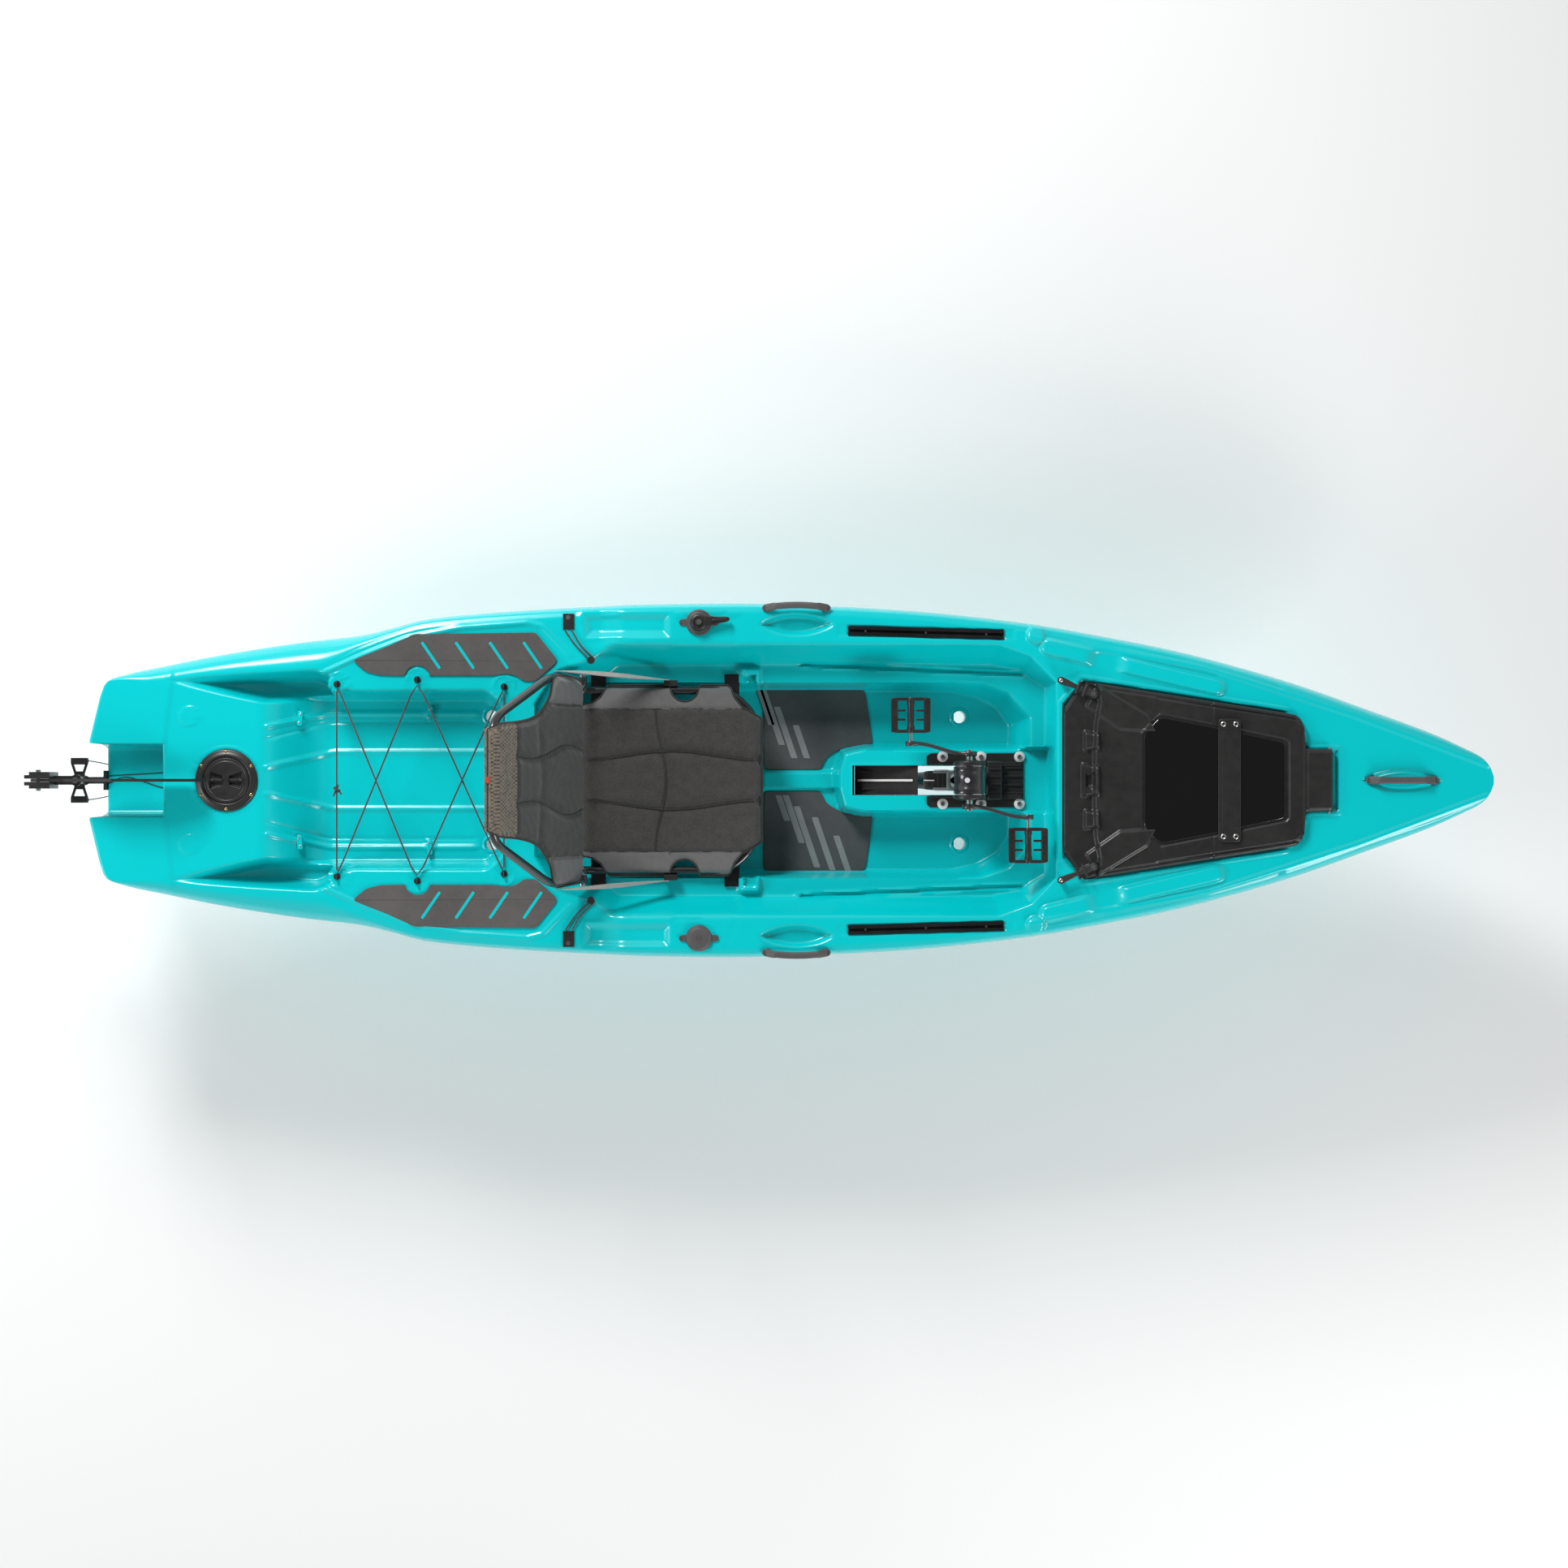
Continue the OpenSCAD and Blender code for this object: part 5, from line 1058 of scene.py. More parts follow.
# ---- Handles and pads ----
@dataclass
class Grips:
    """Carry handles at the bow and on both sides: soft grips between two flat feet."""

    def handle(self, name: str, node_name: str, place, length: float, width: float, bow_out: float) -> None:
        """One handle: a flattened oval bar that arches up between its feet and bows outwards."""
        t = np.linspace(0, 1, 49)
        arch = np.clip((0.5 - np.abs(t - 0.5)) / 0.16, 0, 1)
        lift = 5 + 15 * (3 * arch**2 - 2 * arch**3)
        side = bow_out * np.sin(np.pi * t) ** 0.8
        path = np.stack([(t - 0.5) * (length - 16), side, lift], 1)
        w = np.where(arch < 1, width * 0.5, width * 0.44)
        shell = Shell()
        u = np.linspace(0, 2 * np.pi, 20, endpoint=False)
        rings = np.stack([np.broadcast_to(path[:, None, 0], (49, 20)),
                          path[:, None, 1] + w[:, None] * np.sign(np.cos(u)) * np.abs(np.cos(u)) ** 0.7,
                          path[:, None, 2] + 4.6 * np.sign(np.sin(u)) * np.abs(np.sin(u)) ** 0.8], 2)
        ridge = 0.5 * (np.sin(t * np.pi * 34) > 0)[:, None] * (arch[:, None] >= 1)
        rings[..., 2] += ridge * (np.sin(u) > 0.3)
        shell.grid(place(rings), wrap_v=True)
        shell.cap(place(rings[0]), flip=True)
        shell.cap(place(rings[-1]))
        for s in (-1, 1):
            a = np.linspace(0, 2 * np.pi, 32, endpoint=False)
            foot = np.column_stack([s * (length / 2 - 13) + 14 * np.cos(a), width * 0.53 * np.sin(a)])
            shell.plate(foot, 0, 5.4, 1.6, place)
        shell.build(name, GREY, "hull", (node_name,), smooth=50)

    def build(self) -> None:
        """Makes the three handles."""
        for side, label in ((1, "port"), (-1, "starboard")):
            self.handle(f"side_grip_{label}", f"side_handle_{label}",
                        lambda p, s=side: np.stack([23 + p[..., 0], s * (456 + p[..., 1]), 325.2 + p[..., 2]], -1),
                        180, 20, 7)
        base = 325 + 75 * (1616 - 600) / 1254 + 0.2
        self.handle("bow_grip", "bow_handle", lambda p: np.stack(
            [1616 + p[..., 0] - 0.06 * p[..., 2], p[..., 1], base + p[..., 2] + 0.06 * p[..., 0]], -1), 188, 21, 0)


@dataclass
class Pads:
    """Brushed foam pads with bevelled rims: two at the sides of the tank well and two underfoot."""

    def side_pad(self, side: int) -> Shell:
        """One side pad, with its eye notches; the four slanted slots are laid on as hull-coloured inlays."""
        notch = lambda cx, cy: [(cx - 33 * math.cos(a), cy + 33 * math.sin(a)) for a in np.linspace(0.15,
                np.pi - 0.15, 12)]
        half = ([(-1150, 314), (-1118, 287), (-1080, 278), (-1030, 277)] + notch(-982, 271) + [(-940, 277),
                (-800, 277)]
                + [(-786, 277), (-742, 282), (-718, 276), (-700, 262), (-668, 262), (-614, 310), (-612, 322),
                   (-668, 392), (-990, 388), (-1070, 352), (-1148, 322)])
        o = rounded_outline([(x, y * side) for x, y in half], 9, 3)
        return Shell().plate(o, 310.3, 315.2, 1.6)

    def foot_pad(self, side: int) -> Shell:
        """One foot pad: a rounded plate cut away beside the console."""
        half = [(-64, 28), (92, 28), (104, 62), (150, 88), (232, 92), (212, 238), (196, 252), (-46, 252), (-66, 240)]
        o = rounded_outline([(x, y * side) for x, y in half], 18, 5)
        return Shell().plate(o, 100.2, 105.2, 1.6)

    def build_stripes(self) -> None:
        """Plain slanted bands laid into the foot pads, which step across from port to starboard."""
        shell = Shell()
        for x, y0, y1 in ((-52, 150, 246), (-24, 96, 246), (10, 60, 200), (44, 60, 150), (-10, -110, -40),
                (30, -170, -40),
                          (72, -236, -70), (114, -244, -100), (156, -246, -150)):
            w, lean = 17, -0.34
            shift = lambda y: x + lean * (y - y0)
            bar = rounded_outline([(shift(y0), y0), (shift(y0) + w, y0), (shift(y1) + w, y1), (shift(y1), y1)], 3, 3)
            shell.plate(bar, 104.4, 105.7, 0.3)
        shell.build("foot_pad_bands", BAND, "hull", (), "foam")

    def build(self) -> None:
        """Makes the four pads and the slots in the side pads."""
        self.build_stripes()
        slots = Shell()
        for side, label in ((1, "port"), (-1, "starboard")):
            self.side_pad(side).build(f"side_pad_{label}_foam", FOAM, "hull", (f"side_pad_{label}",))
            self.foot_pad(side).build(f"foot_pad_{label}_foam", FOOT, "hull", (f"foot_pad_{label}",))
            for x0 in (-978, -888, -798, -708):
                a, b = np.array([x0 + 8, 366.0 * side]), np.array([x0 + 56, 296.0 * side])
                d = (b - a) / np.linalg.norm(b - a)
                n = np.array([-d[1], d[0]]) * 3.6
                slots.plate(rounded_outline([tuple(a - n), tuple(b - n), tuple(b + n), tuple(a + n)], 3, 3),
                        314.2, 315.5, 0.2)
        slots.build("side_pad_slots", TEAL, "hull")


# ---- Seat ----
@dataclass
class Seat:
    """Folding mesh seat: tube frames, a stuffed base panel, a stuffed back panel and two side straps."""

    hinge: tuple[float, float] = (-545, 303.4)
    lean: float = math.radians(24)
    frame_z: float = 249.4
    frame_y: float = 240
    tube_r: float = 11

    def leant(self, p: Array) -> Array:
        """Points of the back's upright frame, leant aft about the hinge line."""
        c, s = math.cos(self.lean), math.sin(self.lean)
        return np.stack([self.hinge[0] + p[..., 0] * c - p[..., 2] * s, p[..., 1],
                         self.hinge[1] + p[..., 0] * s + p[..., 2] * c], -1)

    def bend(self, points: list, radius: float) -> Array:
        """Path with each corner turned into an arc-like curve that starts radius before it."""
        p = np.asarray(points, float)
        out = [p[:1]]
        for a, b, c in zip(p[:-2], p[1:-1], p[2:]):
            u, v = (a - b) / np.linalg.norm(a - b), (c - b) / np.linalg.norm(c - b)
            r = min(radius, np.linalg.norm(a - b) * 0.48, np.linalg.norm(c - b) * 0.48)
            t = np.linspace(0, 1, 11)[:, None]
            out.append((b + u * r) * (1 - t) ** 2 + 2 * b * t * (1 - t) + (b + v * r) * t**2)
        return np.vstack(out + [p[-1:]])

    def build_frames(self) -> None:
        """Bent tubes of the base and back with their crossbars, hinge ears and bosses."""
        z, y = self.frame_z, self.frame_y
        base = Shell().tube(self.bend([(-559, y, z), (-154, y, z), (-84, y - 70, z), (-84, 70 - y, z),
                                       (-154, -y, z), (-559, -y, z)], 58), self.tube_r, 20)
        base.tube(np.linspace((-483, -y, z), (-483, y, z), 6), 9, 16)
        for s in (-1, 1):
            prof = [(-556, z), (-509, z)] + [(-545 + 13 * math.cos(a),
                    303.4 + 13 * math.sin(a)) for a in np.linspace(0, np.pi, 12)]
            ring = np.array(prof)
            base.plate(ring, s * y - 5, s * y + 5, 1.2, lambda p: np.stack([p[..., 0], p[..., 2], p[..., 1]], -1))
        base.build("seat_base_tubes", TUBE, "hull", ("seat_base_frame",))
        back = Shell()
        back.tube(self.leant(self.bend([(0, 263, 0), (0, 275, 170), (0, 150, 500), (0, -150, 500), (0, -275, 170),
                                        (0, -263, 0)], 62)), self.tube_r, 20, up=(1, 0, 0.2))
        back.tube(self.leant(np.linspace((0, -269, 102), (0, 269, 102), 6)), 9, 16)
        for s in (-1, 1):
            back.lathe([(5, 12), (12.5, 12), (13, 11), (13, -11), (12.5, -12), (5, -12)],
                       (self.hinge[0], s * 263, self.hinge[1]), (0, 1, 0), 32)
        back.build("seat_back_tubes", TUBE, "seat_back", ("seat_back_frame",))

    def closed_panel(self, top: Array, bottom: Array) -> Shell:
        """Closed form from two grids of points that share their outline."""
        shell = Shell().grid(top, flip=True).grid(bottom)
        rim_t = np.concatenate([top[:, 0], top[-1, 1:], top[-2::-1, -1], top[0, -2:0:-1]])
        rim_b = np.concatenate([bottom[:, 0], bottom[-1, 1:], bottom[-2::-1, -1], bottom[0, -2:0:-1]])
        mid = (rim_t + rim_b) / 2
        shell.grid(np.stack([rim_t, mid, rim_b]), wrap_v=True, flip=True)
        return shell

    def two_tone(self, obj: bpy.types.Object, second: Finish, rule) -> None:
        """Gives the faces whose centres pass a rule the second finish."""
        mesh = obj.data
        centres = np.empty(len(mesh.polygons) * 3)
        mesh.polygons.foreach_get("center", centres)
        index = rule(centres.reshape(-1, 3) / MM).astype(np.int32)
        mesh.materials.append(second.material())
        mesh.polygons.foreach_set("material_index", index)

    def base_edge(self, x: Array) -> Array:
        """Half the width of the base panel, with a round cut-out over the tube on each side."""
        y = np.interp(x, [-552, -546, -520, -498, -484, -476, -160, -152, -142, -122, -98, -80, -70, -66],
                      [188, 202, 207, 222, 246, 254, 254, 246, 220, 196, 182, 172, 166, 158])
        bite = np.sqrt(np.maximum(1 - ((x + 275) / 40) ** 2, 0))
        return y - 44 * bite

    def build_base(self) -> None:
        """Base panel: wings wrap over the side tubes, quilted centre held in by curved seams."""
        x = np.linspace(-552, -66, 200)[:, None]
        v = np.linspace(-1, 1, 190)[None]
        edge = self.base_edge(x)
        y = v * edge
        x = np.broadcast_to(x, y.shape)
        ay = np.abs(y)
        seam_long = np.abs(ay - (66 + 12 * np.cos((x + 310) / 75)))
        seam_cross = np.abs(x + 338 - 14 * np.cos(y / 60))
        seam_wing = np.abs(ay - 190)
        puff = 9 * (1 - np.exp(-(seam_long / 13) ** 2) * 0.85) * (1 - np.exp(-(seam_cross / 13) ** 2) * 0.85)
        puff = np.where(ay > 190, 3.2, puff) * (1 - np.exp(-(seam_wing / 5) ** 2) * 0.8)
        puff *= ramp((edge - ay) / 14, 0.5) * ramp((x + 552) / 20, 0.5) * ramp((-66 - x) / 20, 0.5)
        wrinkle = 0.5 * np.sin(x / 9 + 3 * np.sin(y / 31)) * np.sin(y / 13 + 2 * np.sin(x / 37))
        sling = 263.5 - 2.5 * np.cos(np.clip(ay / 200, 0, 1) * np.pi / 2)
        over = np.clip(ay - 232, 0, 15.5)
        wrap = (15.5 - np.sqrt(15.5**2 - over**2)) * 0.8
        front = 12 * ramp((x + 90) / 24, 0.5)
        z = sling + puff + wrinkle * ramp((edge - ay) / 12) - wrap - front
        low = np.minimum(z - 2.2, 261.0 - wrap - front)
        obj = self.closed_panel(np.stack([x, y, z], 2), np.stack([x, y, low], 2)).build(
            "seat_base_panel", MESH, "hull", ("seat_base_fabric",), "seat_fabric", smooth=60)
        self.two_tone(obj, WING, lambda c: np.abs(c[:, 1]) > 190)
        xs = np.concatenate([np.linspace(-550, -318, 60), np.linspace(-316, -234, 40), np.linspace(-232, -68, 60)])
        e = self.base_edge(xs)
        over = np.clip(e - 232, 0, 15.5)
        ez = 263.0 - (15.5 - np.sqrt(15.5**2 - over**2)) * 0.8 - 12 * ramp((xs + 90) / 24, 0.5)
        trim = Shell()
        loop = np.concatenate([np.stack([xs, e, ez], 1), np.stack([xs, -e, ez], 1)[::-1]])
        trim.tube(loop, 2.6, 8, closed=True)
        for s in (-1, 1):
            seam = np.stack([xs, np.full(len(xs), 190.0 * s), np.full(len(xs), 263.2)], 1)
            trim.tube(seam[6:-14], 1.9, 8)
            wave = np.stack([xs, s * (66 + 12 * np.cos((xs + 310) / 75)), np.full(len(xs), 265.4)], 1)
            trim.tube(wave[4:-8], 1.3, 8)
        ys = np.linspace(-186, 186, 60)
        trim.tube(np.stack([-338 + 14 * np.cos(ys / 60), ys, np.full(60, 265.4)], 1), 1.3, 8)
        trim.build("seat_base_piping", PIPING, "hull", (), "webbing")

    def back_edge(self, z: Array) -> Array:
        """Half the width of the back panel: hip wings below, a waist, then the top edge."""
        return hermite(z, [2, 20, 60, 120, 165, 184, 205, 235, 270, 330, 400, 480, 512],
                       [228, 252, 270, 274, 275, 266, 222, 194, 172, 156, 148, 143, 128])

    def build_back(self) -> None:
        """Back panel: quilted front, flat rear, and a roll over the top tube."""
        h = np.linspace(22, 512, 200)[:, None]
        v = np.linspace(-1, 1, 170)[None]
        edge = self.back_edge(h)
        y = v * edge
        h = np.broadcast_to(h, y.shape)
        ay = np.abs(y)
        seam = np.abs(ay - (58 + 26 * np.exp(-((h - 130) / 130) ** 2) + 8 * np.sin(h / 60)))
        waist = np.abs(h - 262 - 0.12 * ay)
        wing = np.abs(ay - 200) + 400 * (h > 215)
        strip = np.abs(h - 396)
        puff = 10 * (1 - 0.8 * np.exp(-(seam / 12) ** 2)) * (1 - 0.5 * np.exp(-(waist / 16) ** 2))
        puff *= (1 - 0.7 * np.exp(-(wing / 6) ** 2)) * (1 - 0.5 * np.exp(-(strip / 6) ** 2))
        puff = np.where(h > 400, 5, puff)
        puff *= ramp((edge - ay) / 18, 0.5) * ramp((h - 22) / 20, 0.5)
        wrinkle = 0.5 * np.sin(h / 8 + 3 * np.sin(y / 29)) * np.sin(y / 12 + 2 * np.sin(h / 33))
        roll = np.clip(h - 484, 0, 28)
        x = 14 + puff + wrinkle - 2.5 * np.clip((ay - 150) / 100, 0, 1) - 14 * (roll / 28) ** 2
        rear = np.minimum(x - 2.4, 12.0 - 26 * (roll / 28) ** 0.5 * (roll > 0))
        front, back = np.stack([x, y, h], 2), np.stack([rear, y, h - roll * 0.1], 2)
        obj = self.closed_panel(self.leant(front), self.leant(back)).build(
            "seat_back_panel", MESH, "seat_back", ("seat_back_fabric",), "seat_fabric", smooth=60)
        c0, s0 = math.cos(self.lean), math.sin(self.lean)

        def up(c: Array) -> Array:
            """Height of points along the leant back."""
            return -(c[:, 0] - self.hinge[0]) * s0 + (c[:, 2] - self.hinge[1]) * c0
        self.two_tone(obj, WING, lambda c: (np.abs(c[:, 1]) > 200) & (up(c) < 215))
        centres = np.empty(len(obj.data.polygons) * 3)
        obj.data.polygons.foreach_get("center", centres)
        index = np.empty(len(obj.data.polygons), np.int32)
        obj.data.polygons.foreach_get("material_index", index)
        c = centres.reshape(-1, 3) / MM
        index[up(c) > 398] = 2
        obj.data.materials.append(NET.material())
        obj.data.polygons.foreach_set("material_index", index)
        hs = np.linspace(23, 510, 150)
        e = self.back_edge(hs)
        roll = np.clip(hs - 484, 0, 28)
        ex = 13.4 - 2.5 * np.clip((e - 150) / 100, 0, 1) - 20 * (roll / 28) ** 2
        loop = np.concatenate([np.stack([ex, e, hs], 1), np.stack([ex, -e, hs], 1)[::-1]])
        trim = Shell().tube(self.leant(loop), 2.8, 8, closed=True, up=(1, 0, 0.4))
        hs = np.linspace(30, 480, 60)
        ey = 58 + 26 * np.exp(-((hs - 130) / 130) ** 2) + 8 * np.sin(hs / 60)
        for s in (-1, 1):
            trim.tube(self.leant(np.stack([np.full(60, 16.6), s * ey, hs], 1)), 1.3, 8, up=(1, 0, 0.4))
        trim.build("seat_back_piping", PIPING, "seat_back", (), "webbing")
        tag = Shell().box((-8, -8, 505), (4, 8, 514.5), 1.2, lambda p: self.leant(p))
        tag.build("seat_back_tag", TAG, "seat_back", (), "webbing")

    def build_straps(self) -> None:
        """Two webbing straps from the back's shoulders to the buckles, sagging a little."""
        shell = Shell()
        for side in (1, -1):
            path = smooth_path([(-604, 285.6 * side, 436), (-530, 283 * side, 384), (-450, 278 * side, 334),
                                (-385, 273 * side, 292), (-322, 268 * side, 262)], 60)
            t = np.linspace(0, 1, 60)
            twist = 0.5 * np.sin(t * np.pi) * side
            d = np.gradient(path, axis=0)
            d /= np.linalg.norm(d, axis=1)[:, None]
            out = np.cross(d, (0, 0, 1.0))
            out /= np.linalg.norm(out, axis=1)[:, None]
            up = np.cross(out, d)
            wide = up * np.cos(twist)[:, None] + out * np.sin(twist)[:, None]
            thin = np.cross(wide, d)
            shape = np.array([(-12, -0.9), (-11, -1.3), (-6, -1), (0, -1.2), (6, -1), (11, -1.3), (12, -0.9),
                              (12, 0.9), (11, 1.3), (6, 1), (0, 1.2), (-6, 1), (-11, 1.3), (-12, 0.9)])
            rings = path[:, None] + shape[None, :, :1] * wide[:, None] + shape[None, :, 1:] * thin[:, None]
            shell.grid(rings, wrap_v=True)
            shell.cap(rings[0], flip=True)
            shell.cap(rings[-1])
        obj = shell.build("seat_side_straps", WEBBING, "", ("seat_straps",), "webbing", smooth=50)
        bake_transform(obj)

    def build(self) -> None:
        """Makes the seat."""
        self.build_frames()
        self.build_base()
        self.build_back()
        self.build_straps()


# ---- Pedal drive ----
@dataclass
class Drive:
    """Pedal drive: base plate, cheeks with drum covers, leg, cranks, pedals and propeller."""

    x: float = 480
    z: float = 350
    top: float = 202.2
    arm_y: float = 70
    arm_out: float = 27
    crank_len: float = 155

    def on_side(self, p: Array) -> Array:
        """Plate points drawn in x and z with the thickness along y."""
        return np.stack([p[..., 0], p[..., 2], p[..., 1]], -1)

    def build_plate(self) -> None:
        """Base plate with raised ribs and six bolts on white washers."""
        shell = Shell()
        for s in (-1, 1):
            shell.plate(rounded_outline([(373, 42 * s), (520, 42 * s), (520, 73 * s), (384, 73 * s),
                    (373, 66 * s)], 4, 3), 195.4, 202, 1.2)
        shell.plate(rounded_outline([(533, -73), (633, -73), (633, 73), (533, 73)], 5, 4), 195.4, 202, 1.2)
        for y in (-34, -12, 12, 34):
            shell.box((578, y - 3, 201), (630, y + 3, 208), 1)
        for s in (-1, 1):
            shell.box((520, 44 * s - 6, 200), (628, 44 * s + 6, 210), 1.5)
            shell.box((382, 44 * s - 2, 200), (450, 44 * s + 2, 212), 1)
        shell.build("drive_base_plate", BLACK, "hull", ("drive_plate",))
        # Black sheet that closes the open slot below the deck: painted shade for the dark inside of the drive well,
        # with two ribs and a white centre stripe laid on it.
        shade_sheet = Shell()
        u, v = np.meshgrid([180, 181, 240, 300, 349, 350], [-39.6, -39, -36, 0, 36, 39, 39.6], indexing="ij")
        depth = np.where((np.abs(v) > 38) | (u < 181), 196, 150 + 42 * (u - 180) / 170)
        shade_sheet.grid(np.stack([u, v, depth], 2))
        shade_sheet.grid(np.stack([u, v, depth - 2], 2), flip=True)
        for y in (-24, 24):
            shade_sheet.box((200, y - 2, 155), (334, y + 2, 163), 1)
        shade_sheet.build("drive_slot_painted_shade", BLACK, "hull", (), "black_plastic")
        line = Shell().box((188, -3, 153), (336, 3, 154.8), 0.6, lambda p: np.stack(
            [p[..., 0], p[..., 1], p[..., 2] + 42 * (p[..., 0] - 180) / 170], -1))
        line.build("drive_slot_stripe", WHITE, "hull", (), "steel")
        washers, bolts = Shell(), Shell()
        for x in (416, 519, 622):
            for y in (-63, 63):
                washers.lathe([(5.6, 202.1), (5.6, 204.6), (12.8, 204.4), (14.4, 203.2), (14.4, 202.1)],
                        (x, y, 0), sides=40)
                bolts.lathe([(0, 206.2), (3.4, 206.2), (3.6, 209.4), (5.6, 209.2), (6.6, 207.4), (6.8, 204.4)],
                        (x, y, 0), sides=24)
        washers.build("drive_washers", WHITE, "hull", (), "steel")
        bolts.build("drive_plate_bolts", STEEL, "hull", ("drive_bolts",))

    def build_head(self) -> None:
        """Upright cheeks, their round bosses, and the yoke that ties them forward."""
        shell = Shell()
        x, z = self.x, self.z
        for s in (-1, 1):
            a = np.linspace(math.radians(-58), math.radians(238), 48)
            arc = [(x + 43 * math.cos(t), z + 43 * math.sin(t)) for t in a]
            outline = np.array(arc + [(x - 30, z - 60), (x - 31, 203), (x + 35, 203), (x + 34, z - 60)])
            shell.plate(outline, s * 43.5 - 5.4, s * 43.5 + 5.4, 1.6, self.on_side)
            shell.lathe([(15, 52.5), (24, 52.5), (26, 51), (27, 48.8)], (x, 0, z), (0, s, 0), 40)
            shell.box((x - 30, s * 46 - 7, 202.4), (x + 70, s * 46 + 7, 214), 2)
            shell.tube(np.array([(x - 16, s * 50, 214), (x - 16, s * 50.5, 262), (x - 10, s * 50, 302)]), 3.2,
                    10, up=(0, 1, 0))
        shell.box((534, -52, 202.4), (574, 52, 232), 4)
        for k in (-30, -10, 10, 30):
            shell.box((540, k - 2.5, 230), (570, k + 2.5, 236), 1)
        shell.build("drive_cheeks", BLACK, "hull", ("drive_head",), smooth=45)

    def build_leg(self) -> None:
        """Leg: turned drum, tapering faired strut, bulb and skeg, with a label-free badge and side panels."""
        x, z = self.x, self.z
        drum = [(0.1, 36.8), (14, 36.8), (38, 36.8), (41.4, 35), (42.2, 32), (42.2, 22), (40.8, 20),
                (40.8, -20), (42.2, -22),
                (42.2, -32), (41.4, -35), (38, -36.8), (14, -36.8), (0.1, -36.8)]
        shell = Shell().lathe(drum, (x, 0, z), (0, 1, 0), 72)
        c = np.linspace(0, 2 * np.pi, 60, endpoint=False)
        levels = np.concatenate([np.linspace(-262, -238, 8), np.linspace(-200, 300, 24), np.linspace(306, 338, 6)])
        flare = 1 + 0.25 * np.exp(-((levels + 262) / 30) ** 2) + 0.12 * ramp((levels - 250) / 70)
        fx = 37 * np.cos(c) - 4.4 * (1 + np.cos(2 * c))
        fy = 22 * np.sin(c) * (1 + 0.35 * np.cos(c))
        rings = np.stack([x + fx[None] * flare[:, None], fy[None] * flare[:, None],
                np.broadcast_to(levels[:, None], (len(levels), 60))], 2)
        shell.grid(rings, wrap_v=True)
        shell.cap(rings[0], flip=True)
        bulb_x = np.array([0, 3, 8, 18, 34, 60, 90, 120, 150, 175, 184.9, 185])
        bulb_r = np.array([0.1, 8, 15, 23, 28.6, 30, 29.6, 28, 25.6, 22.6, 21.6, 0.1])
        shell.lathe(list(zip(bulb_r, -bulb_x)), (x + 62, 0, -260), (1, 0, 0), 56)
        fin = rounded_outline([(x - 50, -275), (x + 20, -275), (x - 20, -369.5), (x - 54, -369.5)], 12, 5)
        shell.plate(fin, -2.6, 2.6, 2.2, self.on_side)
        shell.build("drive_leg_casting", LEGBLACK, "drive_leg", ("drive_leg",), "leg_paint", smooth=45)
        panel = Shell()
        panel.box((x - 56, -24, 206), (x - 45, 24, 250), 3)
        for s in (-1, 1):
            panel.box((434 - 46, s * 22 - 3, 232), (434 - 8, s * 22 + 3, 238.5), 1)
        panel.build("drive_leg_panel", LEG, "drive_leg", (), "leg_paint")
        strip = Shell()
        for s in (-1, 1):
            strip.box((392, s * 27.5 - 1.6, 236), (430, s * 27.5 + 1.6, 240), 0.6)
        strip.box((364, -1.6, 237.6), (392, 1.6, 239.4), 0.6)
        strip.build("drive_leg_strips", WHITE, "drive_leg", (), "leg_paint")
        badge = Shell().lathe([(2.4, 0.4), (2.6, 1.2), (4.2, 1.2), (4.4, 0.4), (5.6, 0.4), (5.8, 1.5),
                (6.8, 1.5), (7, 0)], (x - 8, 0, z + 42.2), sides=32)
        badge.build("drive_drum_badge", WHITE, "drive_leg", (), "leg_paint")
        handle = Shell()
        o = rounded_outline([(x - 116, -24), (x - 92, -26), (x - 48, -26), (x - 46.4, -20), (x - 46.4, 20),
                (x - 48, 26), (x - 92, 26), (x - 116, 24)], 8, 4)
        handle.plate(o, 208.3, 232, 4)
        handle.plate(rounded_outline([(x - 112, -20), (x - 70, -22), (x - 50, -22), (x - 50, 22), (x - 70, 22),
                (x - 112, 20)], 7, 4), 230, 236, 2.2)
        for k in range(4):
            handle.box((x - 108 + 14 * k, -17, 234), (x - 101 + 14 * k, 17, 237.4), 1.2)
        handle.build("drive_lift_grip", BLACK, "drive_leg", ("leg_handle",))

    def build_crank(self, label: str, side: int) -> None:
        """S-curved crank arm that thickens into a boss at each end."""
        ahead = -side
        t = np.linspace(0, 1, 46)
        y = self.arm_y + self.arm_out * (1 - np.cos(np.pi * np.clip((t - 0.06) / 0.86, 0, 1))) / 2
        along = t * self.crank_len
        h = 10.5 + 8.5 * np.exp(-(t / 0.13) ** 2) + 4.5 * np.exp(-((1 - t) / 0.1) ** 2)
        w = 5.4 + 1.1 * np.exp(-(t / 0.13) ** 2) + 1.1 * np.exp(-((1 - t) / 0.1) ** 2)
        a = np.linspace(0, 2 * np.pi, 24, endpoint=False)
        rings = np.stack([np.broadcast_to((self.x + ahead * along)[:, None], (46, 24)),
                          side * (y[:, None] + w[:, None] * np.sign(np.cos(a)) * np.abs(np.cos(a)) ** 0.55),
                          self.z + h[:, None] * np.sign(np.sin(a)) * np.abs(np.sin(a)) ** 0.55], 2)
        shell = Shell().grid(rings, wrap_v=True, flip=side * ahead < 0)
        shell.cap(rings[0], flip=side * ahead > 0)
        shell.cap(rings[-1], flip=side * ahead < 0)
        for at, yy, r in ((0, self.arm_y, 20), (self.crank_len, self.arm_y + self.arm_out, 14.5)):
            shell.lathe([(6, 6.6), (r - 1.4, 6.6), (r, 5.2), (r, -5.2), (r - 1.4, -6.6), (6, -6.6)],
                        (self.x + ahead * at, side * yy, self.z), (0, 1, 0), 44)
        shell.build(f"crank_arm_{label}", CRANK, "cranks", (f"crank_{label}",), "grey_plastic", smooth=50)

